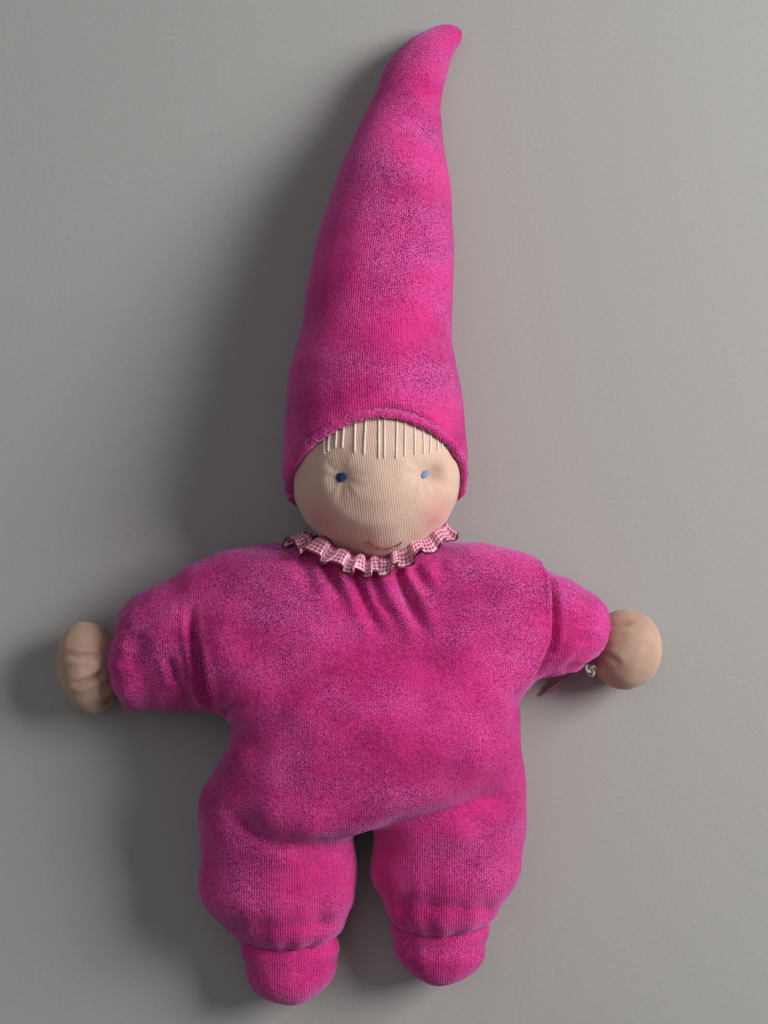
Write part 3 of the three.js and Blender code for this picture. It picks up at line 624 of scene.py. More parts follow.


# %% [markdown]
# Body, arms and legs
#
# The body is the biggest cushion: gathered at the neck, round at the belly, flat where it lies.
# Arms and legs are sewn on in one with it, and only a crease parts them. So one skin is grown over
# all of them, the creases and gathers are pressed into it, and it is cut where a limb begins. Both
# sides keep the points of the cut.

# %% One skin over body and limbs
TUCK = 9
TUCKED_SIZE = 0.95
limbs = {
    "left_sleeve": {
        "body": "left_arm", "root": (58, 21.5, 19.5), "towards": (0.993759, -0.111546, 0),
        "tie": (77, 17.5, 15.5), "tie_way": (0.94, -0.33, -0.19),
        "turn_over": 11, "gathers": 0.55, "seed": 11,
    },
    "right_sleeve": {
        "body": "right_arm", "root": (-57.5, 17.5, 19.5), "towards": (-0.993759, -0.111546, 0),
        "tie": (-88, 8.5, 14.5), "tie_way": (-0.98, -0.16, -0.12),
        "turn_over": 12, "gathers": 0.55, "seed": 12,
    },
    "left_leg": {
        "body": "left_leg", "root": (26, -42, 20), "towards": (0, -1, 0),
        "tie": (24.5, -81, 14), "tie_way": (0, -1, 0),
        "turn_over": 14, "gathers": 0.5, "seed": 13,
    },
    "right_leg": {
        "body": "right_leg", "root": (-33.3, -42, 20), "towards": (0, -1, 0),
        "tie": (-31, -88, 14), "tie_way": (0, -1, 0),
        "turn_over": 14, "gathers": 0.5, "seed": 14,
    },
}
body_sources = ["torso_cover", "torso_stuffing"]
body_tucks = []
for name, limb in limbs.items():
    limb["solids"] = [name + "_cover", name + "_stuffing"]
    body_sources += limb["solids"]
    shift = tuple(-TUCK * np.array(limb["towards"], float))
    body_tucks.append((name + "_cover", limb["root"], TUCKED_SIZE, shift))
body_pads = [
    ((60, 34, 23), (10, 9.5, 16)), ((-58, 34, 22), (13, 11, 16)),
    ((57, 20, 21), (9, 18, 17)), ((-57, 6, 20), (9, 16, 17)),
    ((-70, 28, 19), (13, 10.5, 14)), ((73.5, 22, 18.5), (9.8, 13.5, 16)),
    ((-83.5, 7.5, 17.5), (10.5, 16.5, 16.5)), ((24.5, -77, 18), (20.8, 10.5, 17)),
    ((-31, -82, 18), (21.5, 11, 17)), ((24, -45, 24), (26, 12, 20)),
    ((-32, -48, 24), (26, 13, 20)), ((10, -42, 22), (12, 8, 18)),
    ((-17, -43, 22), (12, 8, 18)), ((1, 37.5, 27), (20, 7, 16.5)),
    ((42.8, -41, 22), (10.6, 14, 18.5)), ((-49.8, -42, 22), (11.4, 15, 18.5)),
]
body_mesh = skin_over("body_velour", body_sources, voxel=1.25, smoothing=16, grow=0.3,
                      tucks=body_tucks, pads=body_pads)
body_places = points_of(body_mesh)

# %% Where the belly lies over the thighs
HIP = -42
left_thigh_line = [
    (-1, -43), (6, -43), (15, -42.3), (25.7, -39.6), (36, -36.5), (46, -33.5), (49, -32),
]
right_thigh_line = [
    (-50, -36), (-47, -40.5), (-40.8, -47.6), (-33.5, -51), (-22.9, -51.8), (-14.4, -50.4),
    (-5, -45.5),
]
shifted_line = np.array([(-60, HIP)] + right_thigh_line[1:] + left_thigh_line[:-1] + [(54, HIP)])
wanted = np.interp(body_places[:, 0], *shifted_line.T)
nearness = np.exp(-((body_places[:, 1] - HIP) / 13) ** 2) * eased((body_places[:, 2] - 14) / 24)
body_places[:, 1] += (wanted - HIP) * nearness

# %% Where the sleeves meet the body
WRIST_LOWERED = 2.6
ARMPIT_DRAWN = 6
x, y = body_places[:, 0], body_places[:, 1]
lifted = np.interp(x, [56, 62, 68, 76, 83], [0, 2.6, 4.0, 3.2, 0]) * eased((15 - y) / 12)
above_wrist = np.exp(-((x - 74) / 5.5) ** 2) * eased((y - 20) / 14)
armpit = eased((x - 45) / 6) * (1 - eased((x - 57) / 6)) * np.exp(-((y + 3) / 5.5) ** 2)
body_places[:, 1] += np.where(y > -13, lifted, 0)
body_places[:, 1] -= WRIST_LOWERED * above_wrist
body_places[:, 0] -= ARMPIT_DRAWN * armpit
left_crease = [
    (59.5, 45), (62.6, 40.1), (63.2, 35.1), (63.0, 26.6), (62.2, 18.1), (60.6, 13.0), (57.6, 7.2),
    (53.5, 1),
]
right_crease = [
    (-62.5, 31), (-61.5, 21.7), (-59.9, 14.7), (-58.5, 7.8), (-57.0, 1.1), (-54.6, -4.4), (-51, -7),
]
evened = [(right_thigh_line, 10), (left_thigh_line, 10), (left_crease, 8), (right_crease, 11)]
for path, reach in evened:
    away, _, _ = near_path(body_places[:, :2], path)
    body_places = relaxed(body_mesh, body_places, np.exp(-(away / reach) ** 2), 70)
set_points(body_mesh, body_places)
body_facing = normals_of(body_mesh)
print("body skin from", body_places.min(axis=0).round(1), "to", body_places.max(axis=0).round(1))

# %% Creases and gathers of the body
BETWEEN_LEGS = -3.3
ARMS_FROM = 40
ARMS_ABOVE = -15
# Each row is a fold's path, its depth and its width.
body_folds = [
    ([(-16, 45), (-14.4, 40), (-10, 30)], 2.0, 1.8),
    ([(-8, 45), (-6.5, 41), (-1.8, 30.5), (4.5, 17)], 3.2, 2.0),
    ([(-1.5, 44), (-0.7, 40), (2.5, 31.5), (9.5, 22)], 2.5, 1.6),
    ([(7.5, 44), (8.8, 40), (13.5, 29.3), (19.8, 16)], 3.2, 2.0),
    ([(14, 44), (14.6, 41), (20, 33.5)], 2.2, 1.8),
    ([(-24, 46), (-23, 40), (-20, 33)], 0.8, 2.0),
    ([(22, 45), (25, 40), (30, 35)], 0.8, 2.0),
    ([(-51.5, -7.5), (-47.7, -4.6), (-43, -1)], 1.6, 1.6),
    ([(-69.5, 12), (-67.8, 5), (-64.8, 1.2), (-61.5, 0)], 1.5, 1.4),
    ([(-80, 20), (-81.5, 13), (-82, 6)], 1.0, 3.2),
    ([(66, 6), (70, 11), (75, 15)], 0.6, 1.7),
    ([(-93, 14), (-86, 11), (-79, 8)], 0.6, 1.9),
    ([(-49, -11), (-43, -15), (-35, -17)], 1.1, 3.0),
    ([(50, -13), (43, -15), (36, -15)], 0.5, 2.6),
    ([(-14, -52), (-18, -58), (-20, -64)], 0.5, 2.6),
    ([(30, -41), (36, -45), (41, -51)], 0.6, 3.0),
    ([(8, -76), (12, -70), (14, -62)], 0.6, 2.2),
    ([(38, -77), (37, -70), (36, -64)], 0.6, 2.2),
    ([(-48, -84), (-46, -77), (-45, -70)], 0.6, 2.2),
    ([(-17, -83), (-18, -76), (-18, -70)], 0.6, 2.2),
]
# A crease adds the height of its lips, and the shares of its path over which it starts and ends.
creases = [(*row, 0.35, 0.04, 0.6) for row in body_folds] + [
    (right_crease, 3.8, 1.45, 0.35, 0.45, 0.25), (left_crease, 2.6, 1.25, 0.3, 0.06, 0.15),
    (right_thigh_line, 2.2, 5.0, 0.15, 0.3, 0.3), (right_thigh_line, 1.0, 2.0, 0.0, 0.2, 0.3),
    (left_thigh_line, 1.87, 5.0, 0.15, 0.3, 0.3), (left_thigh_line, 0.85, 2.0, 0.0, 0.2, 0.3),
]
push = 0.6 * lumps(body_places, size=28, seed=3) + 0.2 * lumps(body_places, size=12, seed=4) + 0.1
for crease in creases:
    push += fold(body_places, body_facing, *crease)
push += overlap(body_places, body_facing, left_crease, depth=3.0, sharp=1.0, soft=4.5)
ribbed = np.full(len(body_places), 0.1)
for name, limb in limbs.items():
    middle = BETWEEN_LEGS if "leg" in name else 0
    outward = np.sign(limb["root"][0] - middle) * (body_places[:, 0] - middle)
    inside = (body_places - limb["root"]) @ limb["towards"]
    side = outward > 0
    if "sleeve" in name:
        side = (outward > ARMS_FROM) & (body_places[:, 1] > ARMS_ABOVE)
    share = np.where(side, eased((inside + 8) / 22), 0)
    ribbed = ribbed * (1 - share) + (0.3 if "leg" in name else 0.2) * share
    pleats = gathers(body_places, limb["tie"], limb["tie_way"], count=13, depth=limb["gathers"],
                     reach=9, seed=limb["seed"])
    push += np.where(side & (inside > 0), pleats, 0)
dressed(body_mesh, push, body_places[:, 0], body_places[:, 1], ribbed)


# %% Cutting a skin
LEGS_BELOW = -30


def part_of(whole, keep):
    """The faces that keep picks, closed by lids inside, whose rims don't bend the shading."""
    form = bmesh.new()
    form.from_mesh(whole)
    number = form.faces.layers.int["part"]
    others = [face for face in form.faces if face[number] != keep]
    bmesh.ops.delete(form, geom=others, context="FACES")
    rim = [line for line in form.edges if line.is_boundary]
    bmesh.ops.holes_fill(form, edges=rim, sides=0)
    for line in rim:
        line.smooth = False
    mesh = bpy.data.meshes.new("part")
    form.to_mesh(mesh)
    form.free()
    return mesh


def numbered(whole, cuts):
    """Cuts a skin along planes and numbers its faces: 0 is the body, then one for each cut."""
    form = bmesh.new()
    form.from_mesh(whole)
    number = form.faces.layers.int.new("part")
    for count, (place, way, near) in enumerate(cuts, 1):
        place, way = Vector(place) * MM, Vector(way)
        region = [face for face in form.faces if near(face.calc_center_median() / MM)]
        lines = list({line for face in region for line in face.edges})
        points = list({point for face in region for point in face.verts})
        bmesh.ops.bisect_plane(form, geom=region + lines + points, plane_co=place, plane_no=way)
        for face in form.faces:
            middle = face.calc_center_median()
            if near(middle / MM) and (middle - place).dot(way) > 0:
                face[number] = count
    form.to_mesh(whole)
    form.free()


cut_places = [
    ((56, -4, 39), lambda p: p.x > ARMS_FROM and p.y > ARMS_ABOVE),
    ((-56, -4, 39), lambda p: p.x < -ARMS_FROM and p.y > ARMS_ABOVE),
    ((0, -43, 0), lambda p: p.y < LEGS_BELOW and p.x > BETWEEN_LEGS),
    ((0, -43, 0), lambda p: p.y < LEGS_BELOW and p.x <= BETWEEN_LEGS),
]
cuts = [
    (place, limb["towards"], near) for (place, near), limb in zip(cut_places, limbs.values())
]
numbered(body_mesh, cuts)
torso_piece = show("torso_velour", part_of(body_mesh, 0), pink_velour)
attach(torso_piece, "torso")
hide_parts("torso_cover", "torso_stuffing")
for count, (name, limb) in enumerate(limbs.items(), 1):
    piece = show(name + "_velour", part_of(body_mesh, count), pink_velour)
    start = Vector(cuts[count - 1][0]) * MM
    end = start + Vector(limb["towards"]) * limb["turn_over"] * MM
    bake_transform(piece)
    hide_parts(*limb["solids"])
    print("piece:", piece.name, len(piece.data.polygons), "faces")

# %% [markdown]
# Booties and hands
#
# Feet and hands are the tied ends of the limbs: a bootie is velour like the leg, and a hand is a
# little bag of jersey round a ball of wool. Both are gathered where the thread holds them.

# %% Booties and hands
BOOTIE_TAPER = 0.24
LEFT_HAND_WIDER = 1.1
# Each row: its body, the limb whose tie holds it, its seed, its pads, and creases with their depth.
ends = {
    "left_bootie": ("left_foot", "left_leg", 21, [((23.8, -87, 13.6), (18.3, 12, 13))], []),
    "right_bootie": ("right_foot", "right_leg", 22, [((-29.8, -94, 13.6), (18.3, 12, 13))], []),
    "left_hand": ("left_hand", "left_sleeve", 23, [], [
        ([(82, 21), (87, 22.5), (92, 23)], 1.1),
        ([(81, 13), (84, 10.5), (87, 8)], 0.5),
    ]),
    "right_hand": ("right_hand", "right_sleeve", 24, [], [
        ([(-96, 11.5), (-102, 11.5), (-109, 10.9)], 1.3),
        ([(-94, 5.5), (-99, 3.2), (-105, 1.1), (-108, -1)], 1.5),
        ([(-90, -3), (-93, -5), (-96, -7)], 0.9),
    ]),
}
for name, (body, limb, seed, pads, creases) in ends.items():
    tie, way = limbs[limb]["tie"], limbs[limb]["tie_way"]
    bootie = "bootie" in name
    cover = name + ("_cover" if bootie else "_skin")
    slot, material = ("pink_velour", pink_velour) if bootie else ("skin_jersey", skin_jersey)
    mesh = skin_over(name + "_cloth", [cover, name + "_stuffing"], voxel=0.9, smoothing=14,
                     grow=0.2, pads=pads)
    places = points_of(mesh)
    middle = places.mean(axis=0)
    past_tie = (places - tie) @ np.array(way, float)
    if bootie:
        narrower = 1 - BOOTIE_TAPER * np.clip(past_tie / 26, 0, 1) ** 2
        places[:, 0] = middle[0] + (places[:, 0] - middle[0]) * narrower
    if name == "left_hand":
        places[:, 1] = middle[1] + (places[:, 1] - middle[1]) * LEFT_HAND_WIDER
    set_points(mesh, places)
    facing = normals_of(mesh)
    along, angle, far = round_axis(places, middle, way)
    push = 0.25 * lumps(places, size=12, seed=seed)
    push += gathers(places, tie, way, count=11, depth=0.45, reach=6, seed=seed)
    for path, depth in creases:
        push += fold(places, facing, path, 0.8 * depth, width=1.0, lip=0.5, start=0.05, end=0.4)
    across = places[:, 0] if bootie else angle * float(np.median(far))
    dressed(mesh, push, across, along, 0.3 if bootie else 0.45)
    if not bootie:
        # Painted shade under the sleeve, darkest at the tie, over a little soil all over the hand.
        past_tie = (places - tie) @ np.array(way, float)
        store(mesh, "shade", 0.4 + 0.5 * np.exp(-np.clip(past_tie, 0, 99) / 9))
    piece = show(name + "_cloth", mesh, material)
    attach(piece, body)
    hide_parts(cover, name + "_stuffing")

# %% [markdown]
# Head
#
# The head is the firmest part: jersey pulled over a wound ball. Two stitches that pull the eyes in
# leave dimples with fine puckers, and the chin and cheeks swell a little. The blush is stored as a
# number for each point, from its distance to the middle of each cheek. A brown by the eyes, painted
# shade in a dimple and an ochre stain, is stored the same way.

# %% Head
HEAD = np.array([1.0, 75.0, 31.4])
EYE_PULL = 1.5
eye_spots = {"left_eye": (17.3, 74.3), "right_eye": (-10.2, 73.2)}
# Each mark is a place, its radius and how much there is of it in the middle.
swells = [
    (3.5, 56, 8, 0.5), (-15, 62, 9, 0.5), (20, 62, 9, 0.4), (3, 70, 6, 0.4), (6, 48, 9, 1.3),
]
blushes = [(-17, 59, 48, 7.5, 0.5), (21, 60.5, 46, 7.5, 0.5), (-5, 50, 47, 9, 0.35)]
# Brown by the eyes: painted shade in the right eye's dimple, and an ochre stain by the left eye.
shade_and_stain_spots = [(21.5, 75, 52, 3.8, 0.55), (-7, 72, 57, 3.2, 0.4)]


def spots(places, marks):
    """The sum of soft round marks at each point."""
    total = np.zeros(len(places))
    for *middle, size, amount in marks:
        away = np.linalg.norm(places[:, :len(middle)] - middle, axis=1)
        total += amount * np.exp(-(away / size) ** 2)
    return total


head_mesh = skin_over("head_jersey", ["head_skin", "head_core"], voxel=0.9, smoothing=16, grow=0.15)
places = points_of(head_mesh)
push = spots(places, swells)
for x, y in eye_spots.values():
    across, up = places[:, 0] - x, places[:, 1] - y
    away = np.hypot(across, up)
    puckers = waves(np.arctan2(up, across), count=9, spread=2, seed=31)
    puckers *= np.exp(-((away - 4.5) / 3.0) ** 2)
    push += 0.16 * puckers - EYE_PULL * np.exp(-(away / 4.2) ** 2)
push *= eased((places[:, 2] - HEAD[2] - 4) / 8)
dressed(head_mesh, push, places[:, 0] + 0.12 * places[:, 1], places[:, 1], 0.85)
store(head_mesh, "blush", np.clip(spots(places, blushes), 0, 1))
# The painted shade and stain by the eyes, over a faint brown on the whole face.
store(head_mesh, "shade", 0.06 + spots(places, shade_and_stain_spots))
head_piece = show("head_jersey", head_mesh, skin_jersey)
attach(head_piece, "head")
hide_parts("head_skin", "head_core")

# %% [markdown]
# Hat
#
# The hat is one long cone of velour. It bends twice, and a skin can turn between two bodies only,
# so one smooth skin is grown over all of it and cut in two where it never bends. Both halves keep
# the points of the cut, so no seam shows.

# %% The hat's edge
FACE_TURN = math.radians(5.8)
BRIM_FRONT, BRIM_SIDE, BRIM_BACK = 46.0, 95.0, 112.0
DRAWN = 3.6


def brim_angle(turn):
    """The angle of the hat's edge from the crown, in degrees, round the head from the front."""
    middle = np.where(np.cos(turn) > 0, BRIM_FRONT, BRIM_BACK)
    return BRIM_SIDE + (middle - BRIM_SIDE) * np.abs(np.cos(turn))


def on_head(down, turn, far):
    """Places from angles from the crown in degrees, turns round the head and distances."""
    down = np.radians(down)
    out = np.stack([np.sin(down) * np.sin(turn), np.cos(down), np.sin(down) * np.cos(turn)], axis=1)
    return HEAD + out * far[:, None]


def drawn_to_hem(places):
    """Stretches the hat's edge down over the head to the rolled hem, most at the sides."""
    offset = places - HEAD
    far = np.linalg.norm(offset, axis=1)
    down = np.degrees(np.arccos(offset[:, 1] / far))
    turn = np.arctan2(offset[:, 0], offset[:, 2])
    by = DRAWN * (1.5 - 0.5 * np.abs(np.cos(turn - FACE_TURN)))
    near_edge = eased((down - brim_angle(turn - FACE_TURN) + 8) / 8)
    return on_head(down + by * near_edge * (far < 40), turn, far)


# %% Hat
HAT_CUT = 165
# Each row is a height up the hat, the hat's middle there and half its width.
hat_line = np.array([
    (95.7, 0.7, 30.4), (108.2, 0.0, 29.4), (125.1, 1.0, 27.1), (142.1, 2.4, 25.1),
    (159.3, 4.7, 23.0), (176.7, 7.0, 20.1), (194.8, 9.5, 15.3), (208.3, 13.1, 12.9),
    (217.1, 15.6, 11.8), (226.2, 19.8, 9.2), (233.2, 24.3, 6.5), (237.0, 32.4, 4.0),
])
hat_parts = ("hat_hood", "hat_cone", "hat_tip")
hat_sources = [part + layer for part in hat_parts for layer in ("_cover", "_stuffing")]
hat_pads = [
    ((0.7, 116, 26.4), (28.5, 24, 26.7)), ((1.2, 128, 25.4), (26.8, 22, 25.6)),
    ((11.4, 201, 12.8), (14.0, 14, 12.8)), ((14.5, 212, 11.5), (12.2, 12, 11.4)),
]
hat_mesh = skin_over("hat_velour", hat_sources, voxel=1.3, smoothing=30, grow=0.45, pads=hat_pads)
places = points_of(hat_mesh)
for joined_at, reach in [(122, 11), (205, 9)]:
    places = relaxed(hat_mesh, places, np.exp(-((places[:, 1] - joined_at) / reach) ** 2), 80)
places = drawn_to_hem(places)
set_points(hat_mesh, places)
facing = normals_of(hat_mesh)
# Each row is a fold's path and its depth.
hat_folds = [
    ([(29, 219), (24, 216.5), (19, 216)], 1.0),
    ([(27, 207), (22, 205), (16, 204)], 0.9),
    ([(26, 196), (20, 194), (13, 194)], 0.6),
    ([(28, 118), (20, 121), (10, 120)], 0.8),
    ([(29, 107), (21, 110), (12, 109)], 0.7),
    ([(-27, 106), (-20, 109), (-12, 108)], 0.5),
    ([(27, 133), (18, 136), (9, 135)], 0.5),
    ([(24, 162), (16, 165), (8, 163)], 0.4),
]
push = 0.45 * lumps(places, size=24, seed=41) + 0.15
for path, depth in hat_folds:
    push += fold(places, facing, path, depth, width=2.4, lip=0.6, start=0.25, end=0.6)
centre, wide = (np.interp(places[:, 1], hat_line[:, 0], hat_line[:, k]) for k in (1, 2))
angle = np.arctan2(places[:, 0] - centre, places[:, 2] - np.minimum(wide, 26))
dressed(hat_mesh, push, angle * wide, places[:, 1], 0.28)
numbered(hat_mesh, [((0, HAT_CUT, 0), (0, 1, 0), lambda p: True)])
hood_piece = show("hat_hood_velour", part_of(hat_mesh, 0), pink_velour)
point_piece = show("hat_point_velour", part_of(hat_mesh, 1), pink_velour)
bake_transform(hood_piece)
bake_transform(point_piece)
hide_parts("hat_hood_cover", "hat_hood_stuffing")
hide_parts("hat_cone_cover", "hat_cone_stuffing", "hat_tip_cover", "hat_tip_stuffing")
print("hat:", len(hood_piece.data.polygons), "and", len(point_piece.data.polygons), "faces")

# %% [markdown]
# Stitches
#
# Everything sewn by hand follows a path: the hair, the eyes, the mouth and the rolled hem. A
# geometry tree turns each drawn path into a round thread, so its thickness is one number.

# %% Thread tree
def new_tree(name, **kinds):
    """A geometry tree with named inputs."""
    tree = bpy.data.node_groups.new(name, "GeometryNodeTree")
    for way in ("INPUT", "OUTPUT"):
        tree.interface.new_socket("Geometry", in_out=way, socket_type="NodeSocketGeometry")
    for label, kind in kinds.items():
        tree.interface.new_socket(label, in_out="INPUT", socket_type="NodeSocket" + kind)
    return tree, add_node(tree, "NodeGroupInput").outputs


def tube(tree, curve, radius, sides, caps):
    """The socket of a round tube along a curve."""
    circle = {"Resolution": sides, "Radius": radius}
    profile = add_node(tree, "GeometryNodeCurvePrimitiveCircle", circle).outputs[0]
    inputs = {"Curve": curve, "Profile Curve": profile, "Fill Caps": caps}
    return add_node(tree, "GeometryNodeCurveToMesh", inputs).outputs[0]


def end_tree(tree, geometry, material):
    """Realises the instances, gives the material and ends the tree."""
    real = add_node(tree, "GeometryNodeRealizeInstances", {0: geometry}).outputs[0]
    smooth = add_node(tree, "GeometryNodeSetShadeSmooth", {0: real}).outputs[0]
    dyed = add_node(tree, "GeometryNodeSetMaterial", {0: smooth, "Material": material}).outputs[0]
    add_node(tree, "NodeGroupOutput", {0: dyed})


def run_tree(piece, tree, values):
    """Runs a tree on a piece and keeps what it makes as the piece's plain mesh."""
    modifier = piece.modifiers.new(tree.name, "NODES")
    modifier.node_group = tree
    for item in tree.interface.items_tree:
        if item.in_out == "INPUT" and item.name in values:
            modifier[item.identifier] = values[item.name]
    piece.data = baked(piece)
    store(piece.data, "rest", points_of(piece.data) * MM)
    print("tree:", tree.name, "on", piece.name, len(piece.data.polygons), "faces")
    return piece


def drawn(name, paths, closed=False):
    """A bare piece that holds paths in millimetres, for a tree to run on."""
    edges = []
    first = 0
    for path in paths:
        last = first + len(path) - 1
        edges += [(i, i + 1) for i in range(first, last)]
        if closed:
            edges.append((last, first))
        first = last + 1
    return linked(name, mesh_of(name, np.concatenate(paths), edges))


thread_tree, given = new_tree(
    "laid_threads", Radius="Float", Step="Float", Sides="Int", Material="Material",
)
lines = add_node(thread_tree, "GeometryNodeMeshToCurve", {0: given["Geometry"]}).outputs[0]
even = add_node(thread_tree, "GeometryNodeResampleCurve",
                {0: lines, "Length": given["Step"]}, mode="LENGTH").outputs[0]
thread = tube(thread_tree, even, given["Radius"], given["Sides"], caps=True)
end_tree(thread_tree, thread, given["Material"])


def threads(name, paths, material, radius, step, sides=8, closed=False):
    """Round threads along paths in millimetres."""
    values = {"Radius": radius * MM, "Step": step * MM, "Sides": sides, "Material": material}
    return run_tree(drawn(name, paths, closed), thread_tree, values)


# %% [markdown]
# Hair, eyes and mouth
#
# The fringe is sixteen single stitches of pale yarn, from under the hem down to the middle of the
# forehead. The eyes are satin stitch: a few threads side by side on the same spot. The mouth is
# one arc of back stitches. All of them are laid on the head by dropping them on its skin.

# %% Places on the face
head_tree = BVHTree.FromObject(head_piece, bpy.context.evaluated_depsgraph_get())


def on_skin(x, y, lift):
    """The place on the face under x, y, lifted off the skin."""
    hit, normal, _, _ = head_tree.ray_cast(Vector((x, y, 90)) * MM, Vector((0, 0, -1)))
    return np.array(hit + normal * lift * MM) / MM


# %% Hair
HEM_STEPS = 96
HEM_DOWN = 6.5
STITCH_STEPS = 8
strand_places = [
    (-15.9, 81.3), (-14.0, 82.0), (-11.5, 83.1), (-9.2, 83.0), (-5.7, 81.3), (-2.1, 80.7),
    (2.1, 79.4), (4.0, 79.5), (8.1, 79.4), (10.8, 80.0), (13.8, 80.7), (16.8, 81.0),
    (19.5, 81.1), (21.6, 82.0), (23.4, 82.8), (24.8, 83.6),
]
turn = 2 * math.pi * np.arange(HEM_STEPS) / HEM_STEPS
hem_line = on_head(brim_angle(turn) + HEM_DOWN, turn + FACE_TURN, 30.3 + 1.3 * np.abs(np.cos(turn)))
hem_front = np.array(sorted((x, y) for x, y, z in hem_line if z > HEAD[2]))
hair_paths = []
rng = np.random.default_rng(51)
for x, bottom in strand_places:
    top = float(np.interp(x, *hem_front.T)) + 1.0
    lean = rng.uniform(-0.8, 0.2)
    shares = np.arange(STITCH_STEPS + 1) / STITCH_STEPS
    path = [on_skin(x + lean * s, top + (bottom - top) * s, 0.2) for s in shares]
    path.append(on_skin(x + lean, bottom - 0.3, -0.5))
    hair_paths.append(path)
hair_piece = threads("hair_stitches", hair_paths, cream_yarn, radius=0.31, step=0.7)
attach(hair_piece, "head")
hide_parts(*[f"hair_strand_{i:02d}" for i in range(1, 17)])

# %% Eyes
# Along one stitch: how far across, how far up its slope, and how high over the skin in millimetres.
eye_stitch = [
    (-1.1, -1, -0.5), (-1, -1, 0.1), (-0.6, -0.6, 0.42), (0, 0, 0.6),
    (0.6, 0.6, 0.42), (1, 1, 0.1), (1.1, 1, -0.5),
]
eye_threads = {
    "left_eye": (1.15, 0.5, "blue_thread", blue_cotton),
    "right_eye": (1.5, 0.1, "navy_thread", navy_cotton),
}
for name, (size, slope, slot, material) in eye_threads.items():
    x, y = eye_spots[name]
    paths = []
    for k in range(-3, 4):
        row = k * 0.28 * size
        half = math.sqrt(max(0.1, size ** 2 - row ** 2))
        paths.append([
            on_skin(x + half * across, y + row + slope * half * up, lift)
            for across, up, lift in eye_stitch
        ])
    eye = threads(name + "_stitches", paths, material, radius=0.22 * size, step=0.25)
    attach(eye, "head")
    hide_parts(name)

# %% Mouth
MOUTH_STITCHES = 4
STITCH_GAP = 0.005
mouth_ends = np.array([(-1.6, 52.6), (3.9, 49.6), (10.2, 52.2)])
stitch_lifts = (-0.3, 0.2, 0.26, 0.2, -0.3)


def mouth_at(share):
    """A place on the mouth's arc through its three drawn points."""
    weights = ((1 - share) * (1 - 2 * share), 4 * share * (1 - share), share * (2 * share - 1))
    return np.array(weights) @ mouth_ends


mouth_paths = []
for k in range(MOUTH_STITCHES):
    start, end = k / MOUTH_STITCHES + STITCH_GAP, (k + 1) / MOUTH_STITCHES - STITCH_GAP
    shares = np.linspace(start, end, len(stitch_lifts))
    mouth_paths.append([on_skin(*mouth_at(s), lift) for s, lift in zip(shares, stitch_lifts)])
mouth_piece = threads("mouth_stitches", mouth_paths, mouth_cotton, radius=0.24, step=0.3)
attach(mouth_piece, "head")
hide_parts("mouth")

# %% [markdown]
# Hem
#
# The hat's edge is rolled and overlocked, so it is a soft cord of cloth with loops of thread
# across it. The cord is one thick thread of the tree above. A second tree sets a small loop at
# every step along it, each a little tilted, because no two stitches lie quite alike.

# %% Rolled hem
HEM_UNEVEN = 0.25
hem_piece = threads("hat_hem_roll", [hem_line], pink_velour, radius=1.4, step=0.9, sides=14,
                    closed=True)
places = points_of(hem_piece.data)
uneven = HEM_UNEVEN * lumps(places, size=4, seed=61)
set_points(hem_piece.data, places + normals_of(hem_piece.data) * uneven[:, None])
store(hem_piece.data, "weave", places * MM)
store(hem_piece.data, "ribbed", 0.2)
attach(hem_piece, "head")
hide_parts("hat_hem")

# %% Overlock loops
loop_tree, given = new_tree(
    "overlock_loops", Spacing="Float", Loop="Float", Thread="Float", Seed="Int",
    Material="Material",
)
lines = add_node(loop_tree, "GeometryNodeMeshToCurve", {0: given["Geometry"]}).outputs[0]
spaced = add_node(loop_tree, "GeometryNodeCurveToPoints",
                  {0: lines, "Length": given["Spacing"]}, mode="LENGTH").outputs
circle = add_node(loop_tree, "GeometryNodeCurvePrimitiveCircle",
                  {"Resolution": 12, "Radius": given["Loop"]}).outputs[0]
ring = tube(loop_tree, circle, given["Thread"], sides=5, caps=False)
tilt = add_node(loop_tree, "FunctionNodeRandomValue",
                {0: (0.75, -0.35, -0.5), 1: (1.15, 0.35, 0.5), "Seed": given["Seed"]},
                data_type="FLOAT_VECTOR").outputs[0]
turned = add_node(loop_tree, "FunctionNodeRotateEuler", {0: spaced["Rotation"], 1: tilt},
                  rotation_type="EULER", space="LOCAL").outputs[0]
swell = add_node(loop_tree, "FunctionNodeRandomValue",
                 {2: 0.9, 3: 1.25, "Seed": given["Seed"]}, data_type="FLOAT").outputs[1]
placed = add_node(loop_tree, "GeometryNodeInstanceOnPoints", {
    "Points": spaced[0], "Instance": ring, "Rotation": turned, "Scale": swell,
}).outputs[0]
end_tree(loop_tree, placed, given["Material"])

loops = run_tree(drawn("hat_hem_loops", [hem_line], closed=True), loop_tree, {
    "Spacing": 0.38 * MM, "Loop": 1.45 * MM, "Thread": 0.1 * MM, "Seed": 5, "Material": hem_thread,
})
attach(loops, "head")

# %% [markdown]
# Ruffle
#
# The ribbon is gathered along one edge round the neck, so its free edge is longer than its run and
# falls in waves. It is a thin strip whose outer edge swings along the neck's axis and doubles
# back, and a little crumpling breaks up the waves.

# %% Gathered ribbon
WAVES = 17
STEPS = WAVES * 18
ACROSS = 7
CRUMPLE = 0.45
# Each edge's distance from the neck's axis and place along it, at the front, the side and the back.
inner_edge = {"radius": (12.0, 23.5, 17.5), "along": (46.9, 56.2, 51.0)}
outer_edge = {"radius": (15.2, 29.5, 25.0), "along": (40.6, 52.4, 48.4)}


def three_way(values, turn):
    """A value round the neck that passes through its front, side and back."""
    front_value, side_value, back_value = values
    c = np.cos(turn)
    middle = (front_value + back_value) / 2
    return side_value + (front_value - back_value) / 2 * c + (middle - side_value) * c * c


def between(measure, turn, share):
    """A measure of the ribbon, from its held edge to its free one."""
    inner, outer = three_way(inner_edge[measure], turn), three_way(outer_edge[measure], turn)
    return inner * (1 - share) + outer * share


